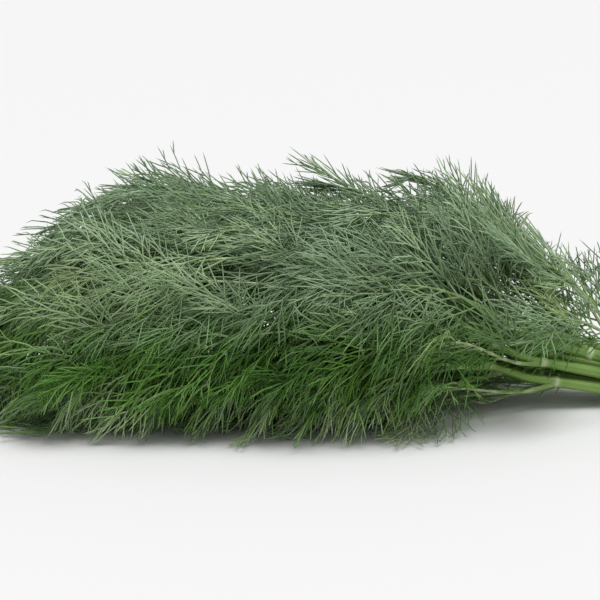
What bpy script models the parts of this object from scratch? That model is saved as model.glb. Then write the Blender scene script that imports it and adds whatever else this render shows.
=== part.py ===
"""A bunch of fresh dill, as cut, lying on a table.

Twelve leafy stems lie in a heap at their cut ends (+X) and fan out into one feathery mound (-X).
Each stem is one object: a round stem, its feathery leaves, their side ribs and their hair-thin leaflets,
all grown together. The stems only lie on and among each other, with a hair's gap between them.
Lengths are in metres, +Z is up, and the table is at z = 0.
"""

import math
import random

import bmesh
import bpy
from mathutils import Vector

MM = 0.001

# The mound, as outlines along the bunch. x runs from the leaf tips to the cut ends.
TOP_OUTLINE_MM = (
    (-142, 24), (-124, 40), (-106, 52), (-88, 61), (-72, 80), (-56, 85), (-40, 83), (-28, 76), (-4, 84),
    (24, 82), (34, 76), (46, 84), (58, 84), (68, 72), (80, 63), (94, 53), (104, 58), (116, 52), (128, 38),
    (150, 22), (210, 14),
)
HALF_WIDTH_MM = (
    (-142, 26), (-110, 52), (-70, 66), (0, 70), (50, 62), (90, 48), (120, 32), (150, 16), (210, 12),
)
WIDEST_LEVEL = 0.42  # of the height, where the mound is widest
RIB_REACH = 0.92  # how far out the leaves' ribs end, as a share of the mound's section

# The stems
CUT_END_X = 205 * MM
FLAT_UNTIL_X = 150 * MM  # the lowest stems lie flat on the table from here to the cut end
FAN_FROM_X = 178 * MM
STEM_TIP_X = -6 * MM
STEM_RADIUS = 2.0 * MM
STEM_TIP_RADIUS = 0.95 * MM
STEM_SIDES = 6
STEM_STEPS = 8
HEAP_PITCH = 4.75 * MM
HEAP_ROW_RISE = 4.35 * MM

# (place in its row counted from the middle, row, angle in the mound from the front over the top, reach)
STEMS = (
    (-2, 0, -20, 0.46),
    (-1, 0, -52, 0.40),
    (0, 0, -90, 0.34),
    (1, 0, -128, 0.40),
    (2, 0, -160, 0.46),
    (-1.5, 1, 16, 0.50),
    (-0.5, 1, 62, 0.20),
    (0.5, 1, 118, 0.20),
    (1.5, 1, 164, 0.50),
    (-1, 2, 50, 0.52),
    (0, 2, 90, 0.52),
    (1, 2, 130, 0.52),
)

# Each leaf: where it leaves the stem and where its rib ends, along the bunch
TOP_LEAVES_MM = ((122, 90), (104, 62), (82, 24), (56, -22), (26, -72))
LOW_LEAVES_MM = ((92, 44), (72, 10), (50, -30), (28, -76))
CORE_LEAVES_MM = ((58, -46), (32, -92), (12, -118))
TIP_LEAF_MM = -122
LEAF_SIDE_DEG = 17  # leaves leave the stem by turns on either side of its angle
LEAF_STEPS = 4
RIB_RADIUS = 0.8 * MM
RIB_TIP_RADIUS = 0.5 * MM
RIB_SIDES = 4

# Side ribs, in pairs along a leaf, and the leaflets on them
PAIRS = (0.31, 0.48, 0.65, 0.82)
PAIR_STAGGER = 0.035  # of the leaf, between the two ribs of a pair
PAIR_REACH = 0.40  # the longest side rib, as a share of the leaf
PAIR_LEAST = 9 * MM
SIDE_RIB_RADIUS = 0.48 * MM
SIDE_RIB_NECK = 0.34 * MM  # its radius where it joins the leaf's rib
LEAFLET_RADIUS = 0.34 * MM
ROOT_LIFT = 0.1 * MM  # from the parent's middle line towards the side that a root grows out of
LEAFLET_LENGTH = 13 * MM
LEAFLET_FORK = 0.5  # of the side rib, where its leaflet forks off
LEAFLET_PAIRS = 2  # the first pairs of side ribs carry leaflets

CLEARANCE = 0.35 * MM
LEAF_TRIES = 24  # how often a leaf is turned anew before it is left out
RIB_TRIES = 14
LEAFLET_TRIES = 6
ORIGIN_X = 37.8 * MM  # the middle of the bunch, in the outlines' own x
ORIGIN_Y = -0.3 * MM  # and across it
SEED = 11

# The greens of the stems run from the first of these to the second
YELLOW_GREEN = Vector((0.20, 0.33, 0.05))
DEEP_GREEN = Vector((0.09, 0.22, 0.05))


def smooth_step(t):
    """0 before 0, 1 after 1, and a smooth rise between."""
    t = min(1.0, max(0.0, t))
    return t * t * (3 - 2 * t)


def outline(points_mm, x):
    """The height or half width that an outline has at x, in metres, smooth between its points."""
    points = [(a * MM, b * MM) for a, b in points_mm]
    if x <= points[0][0]:
        return points[0][1]
    for (x0, v0), (x1, v1) in zip(points, points[1:]):
        if x <= x1:
            return v0 + (v1 - v0) * smooth_step((x - x0) / (x1 - x0))
    return points[-1][1]


def mound_point(x, angle, share):
    """A point of the mound at x. angle turns from the front (-Y) over the top; share is 0 mid, 1 outside."""
    top = outline(TOP_OUTLINE_MM, x)
    half = outline(HALF_WIDTH_MM, x)
    middle = WIDEST_LEVEL * top
    across, rise = math.cos(angle), math.sin(angle)
    level = top - middle if rise > 0 else middle
    return Vector((x, -across * half * share, middle + rise * level * share))


def outward(point):
    """The way out of the mound at a point of it, square to its length."""
    top = outline(TOP_OUTLINE_MM, point.x)
    half = outline(HALF_WIDTH_MM, point.x)
    middle = WIDEST_LEVEL * top
    level = top - middle if point.z > middle else middle
    return Vector((0.0, point.y / half**2, (point.z - middle) / level**2)).normalized()


def on_table(point, radius):
    """The point, lifted softly where the table would press it up."""
    softness = 2.2 * MM
    rise = (point.z - radius) / softness
    lifted = rise if rise > 30 else math.log1p(math.exp(rise))
    return Vector((point.x, point.y, radius + softness * lifted))


def bezier(start, first, second, end, steps):
    """Points along a cubic curve, both ends included."""
    made = []
    for i in range(steps + 1):
        t = i / steps
        u = 1 - t
        made.append(start * u**3 + first * (3 * u * u * t) + second * (3 * u * t * t) + end * t**3)
    return made


def along(points, t):
    """The point and direction at a share t of a line of points."""
    place = min(max(t, 0.0), 0.9999) * (len(points) - 1)
    i = int(place)
    step = points[i + 1] - points[i]
    return points[i] + step * (place - i), step.normalized()


class Strand:
    """A tapering shoot: middle line, radius at each point, number of sides and the strand it grows from."""

    def __init__(self, points, radii, grows_from=None, sides=3):
        self.points = points
        self.radii = radii
        self.grows_from = grows_from
        self.sides = sides

    def stretches(self):
        """The straight stretches between its points, each with its larger radius and the strand."""
        ends = zip(self.points, self.points[1:], self.radii, self.radii[1:])
        return [(a, b, max(ra, rb), self) for a, b, ra, rb in ends]

    def is_kin(self, other):
        """Whether the strands meet where they grow: one on the other, or both on the same strand."""
        if self.grows_from is None:
            return False
        return self.grows_from in (other, other.grows_from)

    def fill(self, mesh):
        """Adds the strand to a bmesh as a closed tube that ends in a point where its last radius is 0."""
        rings = []
        side = None
        last = len(self.points) - 1
        for i, (point, radius) in enumerate(zip(self.points, self.radii)):
            ahead = self.points[min(i + 1, last)] - self.points[max(i - 1, 0)]
            ahead.normalize()
            if side is None:
                side = ahead.cross(Vector((0, 0, 1))).normalized()
            side = (side - ahead * side.dot(ahead)).normalized()
            up = side.cross(ahead)
            if radius == 0:
                rings.append([mesh.verts.new(point)])
                continue
            ring = []
            for k in range(self.sides):
                turn = 2 * math.pi * k / self.sides
                ring.append(mesh.verts.new(point + (side * math.cos(turn) + up * math.sin(turn)) * radius))
            rings.append(ring)
        for lower, upper in zip(rings, rings[1:]):
            for k in range(self.sides):
                corners = [lower[k], lower[(k + 1) % self.sides]]
                if len(upper) == 1:
                    corners.append(upper[0])
                else:
                    corners += [upper[(k + 1) % self.sides], upper[k]]
                mesh.faces.new(corners)
        mesh.faces.new(list(reversed(rings[0])))
        if len(rings[-1]) > 1:
            mesh.faces.new(rings[-1])


def gap_between(a0, a1, b0, b1):
    """The shortest distance between two straight stretches."""
    da, db, between = a1 - a0, b1 - b0, a0 - b0
    aa, bb, ab = da.dot(da), db.dot(db), da.dot(db)
    along_a, along_b = da.dot(between), db.dot(between)
    spread = aa * bb - ab * ab
    s = min(1.0, max(0.0, (ab * along_b - along_a * bb) / spread)) if spread > 1e-18 else 0.0
    t = (ab * s + along_b) / bb
    if t < 0 or t > 1:
        t = min(1.0, max(0.0, t))
        s = min(1.0, max(0.0, (ab * t - along_a) / aa))
    return (a0 + da * s - b0 - db * t).length


def is_clear(strand, placed):
    """Whether a strand keeps its clearance to every stretch that is placed, but for those of its kin."""
    for a0, a1, ra, _ in strand.stretches():
        middle = (a0 + a1) / 2
        reach = (a1 - a0).length / 2 + ra + CLEARANCE
        for b0, b1, rb, owner in placed:
            if (middle - (b0 + b1) / 2).length > reach + (b1 - b0).length / 2 + rb:
                continue
            if strand.is_kin(owner):
                continue
            if gap_between(a0, a1, b0, b1) < ra + rb + CLEARANCE:
                return False
    return True


class Stem:
    """One leafy stem: where it lies in the heap, its middle line and the strands it grows."""

    def __init__(self, number):
        place, row, angle_deg, reach = STEMS[number]
        self.name = f"dill_stem_{number + 1:02d}"
        self.angle = math.radians(angle_deg)
        self.reach = reach
        self.leaves_mm = LOW_LEAVES_MM if math.sin(self.angle) < 0.5 else TOP_LEAVES_MM
        self.core = reach < 0.3
        if self.core:
            self.leaves_mm = CORE_LEAVES_MM
        flat_height = STEM_RADIUS * math.cos(math.pi / STEM_SIDES)
        self.heap = Vector((0, place * HEAP_PITCH, flat_height + row * HEAP_ROW_RISE))
        self.draw = random.Random(SEED * 100 + number)
        self.cut_x = CUT_END_X - self.draw.uniform(0, 9) * MM
        self.line = self.middle_line()
        self.stalk = Strand(self.line, self.stem_radii(), sides=STEM_SIDES)
        self.strands = [self.stalk]
        self.leaves = []

    def middle_line(self):
        """The stem's middle line, from its cut end to its tip."""
        line = [Vector((self.cut_x, self.heap.y, self.heap.z))]
        for i in range(STEM_STEPS):
            x = FLAT_UNTIL_X + (STEM_TIP_X - FLAT_UNTIL_X) * i / (STEM_STEPS - 1)
            line.append(self.centre_at(x))
        return line

    def centre_at(self, x):
        """Where the stem's middle is at x."""
        spread = smooth_step((FAN_FROM_X - x) / (FAN_FROM_X - STEM_TIP_X)) if x < FLAT_UNTIL_X else 0.0
        target = mound_point(x, self.angle, self.reach)
        lying = Vector((x, self.heap.y, self.heap.z))
        return lying.lerp(target, spread)

    def on_line(self, x):
        """The point of the stem's own middle line at x."""
        for a, b in zip(self.line, self.line[1:]):
            if b.x <= x <= a.x:
                return a.lerp(b, (a.x - x) / (a.x - b.x))
        return self.line[-1].copy()

    def stem_radii(self):
        """The stem's radius at each point of its middle line."""
        radii = [STEM_RADIUS]
        for i in range(STEM_STEPS):
            share = i / (STEM_STEPS - 1)
            radii.append(STEM_RADIUS + (STEM_TIP_RADIUS - STEM_RADIUS) * share)
        return radii

    def leaf_plan(self):
        """Where each leaf starts and ends along the bunch, and its angle in the mound."""
        plan = []
        for i, (start, end) in enumerate(self.leaves_mm):
            side = math.radians(LEAF_SIDE_DEG) * (1 if i % 2 else -1)
            plan.append((start * MM, end * MM, self.angle + side * (2.2 if self.core else 1.0)))
        plan.append((STEM_TIP_X, TIP_LEAF_MM * MM, self.angle))
        return plan

    def grow_leaves(self, placed):
        """The leaves, each with its rib turned clear of all that is placed."""
        for start_x, end_x, angle in self.leaf_plan():
            for attempt in range(LEAF_TRIES):
                loose = 1 + 0.25 * attempt
                start = start_x + (self.draw.uniform(-4, 4) * MM if start_x > STEM_TIP_X else 0.0)
                end = end_x + self.draw.uniform(-7, 7) * MM * loose
                turned = angle + math.radians(self.draw.uniform(-5, 5) * loose)
                share = RIB_REACH * self.draw.uniform(0.5 if self.core else 0.92, 1.0)
                leaf = Leaf(self, start, end, turned, share)
                if is_clear(leaf.rib, placed):
                    self.leaves.append(leaf)
                    self.place(leaf.rib, placed)
                    break

    def place(self, strand, placed):
        """Adds a strand to the stem and to all that is placed."""
        self.strands.append(strand)
        placed.extend(strand.stretches())


class Leaf:
    """A feathery leaf: a rib from its stem to the mound's outside, with side ribs in pairs."""

    def __init__(self, stem, start_x, end_x, angle, share):
        start = stem.on_line(start_x)
        end = mound_point(end_x, angle, share)
        span = (end - start).length
        out = outward(start.lerp(end, 0.7))
        pull = 0.8 if math.sin(angle) > 0 else 0.3
        leave = (Vector((-0.6, 0, 0)) + outward(mound_point(start_x, angle, 0.8)) * pull).normalized()
        droop = Vector((0, 0, -0.35 if end.z > 20 * MM else 0.0))
        arrive = ((end - start).normalized() * 0.6 + Vector((-0.6, 0, 0)) + out * 0.2 + droop).normalized()
        curve = bezier(start, start + leave * span * 0.34, end - arrive * span * 0.34, end, LEAF_STEPS)
        self.line = [curve[0]] + [on_table(p, RIB_RADIUS) for p in curve[1:]]
        self.length = sum((b - a).length for a, b in zip(self.line, self.line[1:]))
        self.draw = random.Random(SEED * 1000 + round(angle * 1e4) + round(end_x * 1e6))
        self.roll = math.radians(self.draw.uniform(-42, 42))
        share_of = [i / LEAF_STEPS for i in range(LEAF_STEPS)]
        radii = [RIB_RADIUS + (RIB_TIP_RADIUS - RIB_RADIUS) * s for s in share_of] + [0.0]
        self.rib = Strand(self.line, radii, stem.stalk, RIB_SIDES)

    def side_rib(self, t, side, bend, tilt, shrink):
        """A side rib at share t of the leaf, on one side, as a strand."""
        point, ahead = along(self.line, t)
        normal = outward(point)
        normal = (normal - ahead * normal.dot(ahead)).normalized()
        across = ahead.cross(normal)
        turned = across * math.cos(self.roll) + normal * math.sin(self.roll)
        normal = normal * math.cos(self.roll) - across * math.sin(self.roll)
        open_angle = math.radians(52 - 18 * t) + bend
        way = ahead * math.cos(open_angle) + turned * (side * math.sin(open_angle)) + normal * tilt
        way.normalize()
        free = (1 - t) / (1 - PAIRS[0])
        length = (PAIR_REACH * self.length * free**0.75 + PAIR_LEAST) * shrink
        middle = point + way * length * 0.5
        end = middle + (way + ahead * 0.45 + Vector((0, 0, -0.22))).normalized() * length * 0.5
        root = point + way * ROOT_LIFT
        points = [root, on_table(middle, SIDE_RIB_RADIUS), on_table(end, SIDE_RIB_RADIUS)]
        return Strand(points, [SIDE_RIB_NECK, SIDE_RIB_RADIUS, 0.0], self.rib)

    def leaflet(self, side_rib, side, tilt):
        """A leaflet that forks from a side rib."""
        point, ahead = along(side_rib.points, LEAFLET_FORK)
        across = ahead.cross(outward(point)).normalized()
        way = (ahead + across * (side * 0.75) + outward(point) * tilt).normalized()
        end = on_table(point + way * LEAFLET_LENGTH, LEAFLET_RADIUS)
        return Strand([point + way * ROOT_LIFT, end], [LEAFLET_RADIUS, 0.0], side_rib)


def grow_pair(stem, leaf, number, placed):
    """One pair of side ribs, each bent clear of all that is placed or left out, with their leaflets."""
    for side in (1, -1):
        for attempt in range(RIB_TRIES):
            loose = 0.12 + 0.05 * attempt
            bend = leaf.draw.uniform(-loose, loose)
            tilt = leaf.draw.uniform(-0.15 - loose, 0.15 + loose)
            place = PAIRS[number] + side * PAIR_STAGGER / 2
            rib = leaf.side_rib(place, side, bend, tilt, 1 - 0.03 * attempt)
            if is_clear(rib, placed):
                stem.place(rib, placed)
                if number < LEAFLET_PAIRS:
                    grow_leaflet(stem, leaf, rib, side, placed)
                break


def grow_leaflet(stem, leaf, rib, side, placed):
    """The leaflet of one side rib, bent clear of all that is placed or left out."""
    for _ in range(LEAFLET_TRIES):
        leaflet = leaf.leaflet(rib, side * leaf.draw.choice((1, -1)), leaf.draw.uniform(-0.5, 0.5))
        if is_clear(leaflet, placed):
            stem.place(leaflet, placed)
            return


def stem_material(stem):
    """A stem's own green."""
    material = bpy.data.materials.new(stem.name + "_green")
    material.use_nodes = True
    shader = material.node_tree.nodes["Principled BSDF"]
    green = YELLOW_GREEN.lerp(DEEP_GREEN, stem.draw.random())
    shader.inputs["Base Color"].default_value = (*green, 1.0)
    shader.inputs["Roughness"].default_value = 0.5
    shader.inputs["Metallic"].default_value = 0.0
    return material


def mesh_object(name, strand, collection):
    """One strand as an object."""
    mesh = bpy.data.meshes.new(name)
    made = bmesh.new()
    strand.fill(made)
    bmesh.ops.recalc_face_normals(made, faces=made.faces)
    made.to_mesh(mesh)
    made.free()
    obj = bpy.data.objects.new(name, mesh)
    collection.objects.link(obj)
    return obj


def fuse(stem):
    """The stem and all that grows on it, joined into one solid object."""
    scene = bpy.context.scene.collection
    growth = bpy.data.collections.new(stem.name + "_growth")
    scene.children.link(growth)
    body = mesh_object(stem.name, stem.strands[0], scene)
    for number, strand in enumerate(stem.strands[1:]):
        mesh_object(f"{stem.name}_strand_{number}", strand, growth)
    joined = body.modifiers.new("joined", "BOOLEAN")
    joined.operation = "UNION"
    joined.operand_type = "COLLECTION"
    joined.collection = growth
    joined.solver = "MANIFOLD"
    graph = bpy.context.evaluated_depsgraph_get()
    solid = bpy.data.meshes.new_from_object(body.evaluated_get(graph))
    body.modifiers.clear()
    body.data = solid
    for obj in list(growth.objects):
        bpy.data.objects.remove(obj)
    bpy.data.collections.remove(growth)
    solid.name = stem.name
    solid.materials.clear()
    solid.materials.append(stem_material(stem))
    body.location = (-ORIGIN_X, -ORIGIN_Y, 0.0)


def build():
    """The whole bunch."""
    for obj in list(bpy.data.objects):
        bpy.data.objects.remove(obj)
    stems = [Stem(number) for number in range(len(STEMS))]
    placed = [stretch for stem in stems for stretch in stem.stalk.stretches()]
    for stem in stems:
        stem.grow_leaves(placed)
    for number in range(len(PAIRS)):
        for stem in stems:
            for leaf in stem.leaves:
                grow_pair(stem, leaf, number, placed)
    for stem in stems:
        fuse(stem)


build()
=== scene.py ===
"""The looks of the dill bunch.

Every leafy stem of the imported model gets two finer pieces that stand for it: its stalk with the ribs of
its leaves, and its foliage, where each leaf carries side ribs, twigs on them and forked threads on those.
The stalks and the leaves' ribs follow the same rules and draws as the solids, so the form stays.
Sizes are in metres unless a name ends in _mm or _deg. +X runs to the cut ends, +Z is up.
"""

import logging
import math
import random
from collections.abc import Iterator, Sequence
from dataclasses import dataclass, field
from enum import Enum

import bpy
import numpy as np
from mathutils import Matrix, Vector

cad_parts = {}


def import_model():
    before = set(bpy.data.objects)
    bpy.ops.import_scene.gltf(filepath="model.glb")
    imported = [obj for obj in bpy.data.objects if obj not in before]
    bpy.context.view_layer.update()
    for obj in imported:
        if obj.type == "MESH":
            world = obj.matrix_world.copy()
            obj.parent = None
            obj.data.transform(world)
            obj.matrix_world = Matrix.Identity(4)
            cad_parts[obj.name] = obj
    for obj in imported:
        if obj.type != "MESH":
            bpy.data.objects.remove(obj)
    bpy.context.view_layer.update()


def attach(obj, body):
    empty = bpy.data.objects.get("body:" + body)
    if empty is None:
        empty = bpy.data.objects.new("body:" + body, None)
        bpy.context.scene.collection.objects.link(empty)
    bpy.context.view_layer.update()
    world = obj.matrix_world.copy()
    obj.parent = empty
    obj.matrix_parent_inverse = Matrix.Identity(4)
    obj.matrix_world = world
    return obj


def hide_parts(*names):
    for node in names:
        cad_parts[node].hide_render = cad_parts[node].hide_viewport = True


MM = 0.001
BAKE_MAP = "OFBake"
MARKS = "marks"
ORIGIN = Vector((37.8 * MM, -0.3 * MM, 0.0))  # of the model, in the outlines' own place
STALK_SEED = 11
HANDLE = 0.34  # the length of a curve's handles, as a share of its span
TABLE_SOFTNESS = 2.2 * MM  # how softly the table presses up what lies on it
TINY = 1e-12  # keeps a length from being 0

Outline = tuple[tuple[float, float], ...]
Triple = tuple[float, float, float]

log = logging.getLogger("dill")


# Small helpers for lines and outlines


def smooth_step(t: float) -> float:
    """Rises smoothly from 0 at t = 0 to 1 at t = 1."""
    t = min(1.0, max(0.0, t))
    return t * t * (3 - 2 * t)


def read_outline(points_mm: Outline, x: float) -> float:
    """Reads an outline, smooth between its points.

    Args:
        points_mm: The outline's points, as place and value in millimetres.
        x: The place to read, in metres.

    Returns:
        The value there, in metres.
    """
    place = x / MM
    if place <= points_mm[0][0]:
        return points_mm[0][1] * MM
    for (x0, v0), (x1, v1) in zip(points_mm, points_mm[1:]):
        if place <= x1:
            return (v0 + (v1 - v0) * smooth_step((place - x0) / (x1 - x0))) * MM
    return points_mm[-1][1] * MM


def on_table(point: Vector, radius: float) -> Vector:
    """Lifts a point softly where the table would press it up.

    Args:
        point: The point.
        radius: Half the thickness of what lies there.

    Returns:
        The point, at least a radius above the table.
    """
    rise = (point.z - radius) / TABLE_SOFTNESS
    lifted = rise if rise > 30 else math.log1p(math.exp(rise))  # beyond 30 both are the same
    return Vector((point.x, point.y, radius + TABLE_SOFTNESS * lifted))


def bezier(start: Vector, first: Vector, second: Vector, end: Vector, steps: int) -> list[Vector]:
    """Points along a cubic curve.

    Args:
        start: Where the curve starts.
        first: The handle after the start.
        second: The handle before the end.
        end: Where the curve ends.
        steps: The number of straight stretches.

    Returns:
        The points, both ends included.
    """
    made = []
    for i in range(steps + 1):
        t = i / steps
        u = 1 - t
        made.append(start * u**3 + first * (3 * u * u * t) + second * (3 * u * t * t) + end * t**3)
    return made


def along(points: Sequence[Vector], t: float) -> tuple[Vector, Vector]:
    """The point and the direction at a share of a line.

    Args:
        points: The line's points.
        t: The share, from 0 to 1.

    Returns:
        The point and the unit direction.
    """
    place = min(max(t, 0.0), 0.9999) * (len(points) - 1)
    i = int(place)
    step = points[i + 1] - points[i]
    return points[i] + step * (place - i), step.normalized()


def line_length(points: Sequence[Vector]) -> float:
    """The length of a line of points."""
    return sum((b - a).length for a, b in zip(points, points[1:]))


def lerp(a: float, b: float, t: float) -> float:
    """The value at a share t of the way from a to b."""
    return a + (b - a) * t


@dataclass(frozen=True)
class Strand:
    """A tapering shoot: its middle line and its radii, with the strand that it grows from.

    Attributes:
        points: The middle line.
        radii: The radius at each point.
        grows_from: The strand that carries it.
    """

    points: list[Vector]
    radii: list[float]
    grows_from: "Strand | None" = None

    def stretches(self) -> list[tuple[Vector, Vector, float, "Strand"]]:
        """The straight stretches, each with its larger radius and the strand."""
        ends = zip(self.points, self.points[1:], self.radii, self.radii[1:])
        return [(a, b, max(ra, rb), self) for a, b, ra, rb in ends]

    def is_kin(self, other: "Strand") -> bool:
        """Whether one grows on the other, or both on the same strand."""
        root = self.grows_from
        return root is not None and (root is other or root is other.grows_from)


Placed = list[tuple[Vector, Vector, float, Strand]]


def gap_between(a0: Vector, a1: Vector, b0: Vector, b1: Vector) -> float:
    """The shortest distance between two straight stretches.

    Args:
        a0: Where the first one starts.
        a1: Where it ends.
        b0: Where the second one starts.
        b1: Where it ends.

    Returns:
        The distance.
    """
    da, db, between = a1 - a0, b1 - b0, a0 - b0
    aa, bb, ab = da.dot(da), db.dot(db), da.dot(db)
    along_a, along_b = da.dot(between), db.dot(between)
    spread = aa * bb - ab * ab
    s = min(1.0, max(0.0, (ab * along_b - along_a * bb) / spread)) if spread > 1e-18 else 0.0
    t = (ab * s + along_b) / bb
    if t < 0 or t > 1:
        t = min(1.0, max(0.0, t))
        s = min(1.0, max(0.0, (ab * t - along_a) / aa))
    return (a0 + da * s - b0 - db * t).length


def is_clear(strand: Strand, placed: Placed, clearance: float) -> bool:
    """Whether a strand stays clear of what is placed.

    Args:
        strand: The strand to place.
        placed: Every stretch that is placed.
        clearance: The gap that it keeps to all but its kin.

    Returns:
        True if it stays clear.
    """
    for a0, a1, ra, _ in strand.stretches():
        middle = (a0 + a1) / 2
        reach = (a1 - a0).length / 2 + ra + clearance
        for b0, b1, rb, owner in placed:
            if (middle - (b0 + b1) / 2).length > reach + (b1 - b0).length / 2 + rb:
                continue
            if strand.is_kin(owner):
                continue
            if gap_between(a0, a1, b0, b1) < ra + rb + clearance:
                return False
    return True


@dataclass(frozen=True)
class Mound:
    """The form that the foliage fills, as outlines along the bunch.

    Attributes:
        top_mm: The height of its top.
        half_width_mm: Half its width.
        widest_level: The share of the height where it is widest.
        firm: The share of the outline from which foliage is pressed back.
        give: How far beyond that it can reach at most.
        loose_give: How much more of that a loose piece has, as a share of its looseness.
        left_x: Where foliage is pressed back at the leafy end.
        left_give: How far beyond that it can reach at most.
        left_room: From how far before the edge of that end foliage gets shorter.
        edge_gap: How far beyond left_x that edge is in the middle.
        edge_round: How far it draws back at the sides.
        least_room: The least room that foliage has there, as a share.
    """

    top_mm: Outline = (
        (-142, 24), (-124, 40), (-106, 52), (-88, 61), (-72, 80), (-56, 85), (-40, 83), (-28, 76), (-4, 84),
        (24, 82), (34, 76), (46, 84), (58, 84), (68, 72), (80, 63), (94, 53), (104, 58), (116, 52), (128, 38),
        (150, 22), (210, 14),
    )
    half_width_mm: Outline = (
        (-142, 26), (-110, 52), (-70, 66), (0, 70), (50, 62), (90, 48), (120, 32), (150, 16), (210, 12),
    )
    widest_level: float = 0.42
    firm: float = 0.77
    give: float = 0.10
    loose_give: float = 0.3
    left_x: float = -134 * MM
    left_give: float = 12 * MM
    left_room: float = 46 * MM
    edge_gap: float = 4 * MM
    edge_round: float = 26 * MM
    least_room: float = 0.45

    def point(self, x: float, angle: float, share: float) -> Vector:
        """A point of the mound.

        Args:
            x: The place along the bunch.
            angle: The turn from the front (-Y) over the top, in radians.
            share: How far out, from 0 in the middle to 1 outside.

        Returns:
            The point.
        """
        top = read_outline(self.top_mm, x)
        half = read_outline(self.half_width_mm, x)
        middle = self.widest_level * top
        across, rise = math.cos(angle), math.sin(angle)
        level = top - middle if rise > 0 else middle
        return Vector((x, -across * half * share, middle + rise * level * share))

    def outward(self, point: Vector) -> Vector:
        """The way out of the mound, square to its length.

        Args:
            point: The point where it is read.

        Returns:
            The unit direction.
        """
        top = read_outline(self.top_mm, point.x)
        half = read_outline(self.half_width_mm, point.x)
        middle = self.widest_level * top
        level = top - middle if point.z > middle else middle
        return Vector((0.0, point.y / half**2, (point.z - middle) / level**2)).normalized()

    def room(self, point: Vector) -> float:
        """How long foliage may be near the rounded leafy end.

        Args:
            point: Where it grows.

        Returns:
            The share of its full length.
        """
        half = read_outline(self.half_width_mm, point.x)
        edge = self.left_x - self.edge_gap + self.edge_round * min(1.0, abs(point.y) / half) ** 2
        return min(1.0, max(self.least_room, (point.x - edge) / self.left_room))

    def held(self, point: Vector, loose: float) -> Vector:
        """Presses a point of the foliage softly back inside the outlines, as its neighbours do.

        Args:
            point: The point.
            loose: How much further out it stays free, as a share of the outlines.

        Returns:
            The point, pressed back.
        """
        firm, give = self.firm + loose, self.give + loose * self.loose_give
        top = read_outline(self.top_mm, point.x)
        half = read_outline(self.half_width_mm, point.x)
        middle = self.widest_level * top
        rise = max(0.0, (point.z - middle) / (top - middle))
        reach = math.hypot(point.y / half, rise)
        made = point.copy()
        if reach > firm:
            share = (firm + give * (1 - math.exp((firm - reach) / give))) / reach
            made.y *= share
            if rise > 0:
                made.z = middle + (point.z - middle) * share
        if made.x < self.left_x:
            made.x = self.left_x - self.left_give * (1 - math.exp((made.x - self.left_x) / self.left_give))
        return made


@dataclass(frozen=True)
class StalkSizes:
    """The sizes that all stalks share.

    Attributes:
        cut_end_x: Where the longest stalks are cut.
        cut_spread_mm: How much shorter others may be.
        flat_until_x: The lowest stalks lie flat from here to the cut end.
        fan_from_x: Where the stalks begin to fan out.
        tip_x: Where a stalk ends in its last leaf.
        radius: The radius at the cut end.
        tip_radius: The radius at the tip.
        steps: The straight stretches of the solid's middle line.
        sides: The corners round the solid.
        heap_pitch: The distance between neighbours in a row.
        heap_row_rise: The rise from a row to the next.
        core_reach: Stalks that run less far out are inner ones.
        top_sine: The sine of the angle from which a stalk is one at the top.
        tint_spread: How much paler one stalk may be than another.
    """

    cut_end_x: float = 205 * MM
    cut_spread_mm: float = 9
    flat_until_x: float = 150 * MM
    fan_from_x: float = 178 * MM
    tip_x: float = -6 * MM
    radius: float = 2.0 * MM
    tip_radius: float = 0.95 * MM
    steps: int = 8
    sides: int = 6
    heap_pitch: float = 4.75 * MM
    heap_row_rise: float = 4.35 * MM
    core_reach: float = 0.3
    top_sine: float = 0.5
    tint_spread: float = 0.5


@dataclass(frozen=True)
class LeafSizes:
    """The sizes and places that all leaves share.

    Attributes:
        top_mm: Start and end along the bunch of each leaf on a stalk at the top.
        low_mm: The same on a low stalk.
        core_mm: The same on an inner stalk.
        tip_mm: Where the leaf at a stalk's tip ends.
        side_deg: How far leaves turn by turns from their stalk's angle.
        core_side: How many times that on an inner stalk.
        start_spread_mm: How far the place varies where a leaf leaves the stalk.
        end_spread_mm: How far the place varies where it ends.
        turn_spread_deg: How far its angle varies.
        loosening: How much further the last two vary with each new try.
        steps: The straight stretches of the solid's rib.
        reach: How far out a rib ends at most, as a share of the mound.
        least_reach: The least share of that reach.
        core_least_reach: The same on an inner stalk.
        rib_radius: A rib's radius at the stalk.
        rib_tip_radius: And before its tip.
        tries: How often a rib is turned anew to stay clear.
        clearance: The gap that it keeps.
        out_place: The share of its way where the way out of the mound is read.
        pull_share: How far out in the mound its pull as it leaves the stalk is read.
        pull_high: That pull on the upper side.
        pull_low: That pull on the lower side.
        back: How much it points to the leafy end at both ends.
        ahead: How much it keeps to its straight way at its tip.
        out: How much it points out there.
        droop: How much it points down there.
        droop_z: Only above this height.
        roll_deg: How far its side ribs are turned round it at most.
    """

    top_mm: Outline = ((122, 90), (104, 62), (82, 24), (56, -22), (26, -72))
    low_mm: Outline = ((92, 44), (72, 10), (50, -30), (28, -76))
    core_mm: Outline = ((58, -46), (32, -92), (12, -118))
    tip_mm: float = -122
    side_deg: float = 17
    core_side: float = 2.2
    start_spread_mm: float = 4
    end_spread_mm: float = 7
    turn_spread_deg: float = 5
    loosening: float = 0.25
    steps: int = 4
    reach: float = 0.92
    least_reach: float = 0.92
    core_least_reach: float = 0.5
    rib_radius: float = 0.8 * MM
    rib_tip_radius: float = 0.5 * MM
    tries: int = 24
    clearance: float = 0.35 * MM
    out_place: float = 0.7
    pull_share: float = 0.8
    pull_high: float = 0.8
    pull_low: float = 0.3
    back: float = 0.6
    ahead: float = 0.6
    out: float = 0.2
    droop: float = 0.35
    droop_z: float = 20 * MM
    roll_deg: float = 42


MOUND = Mound()
STALK = StalkSizes()
LEAF = LeafSizes()


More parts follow.
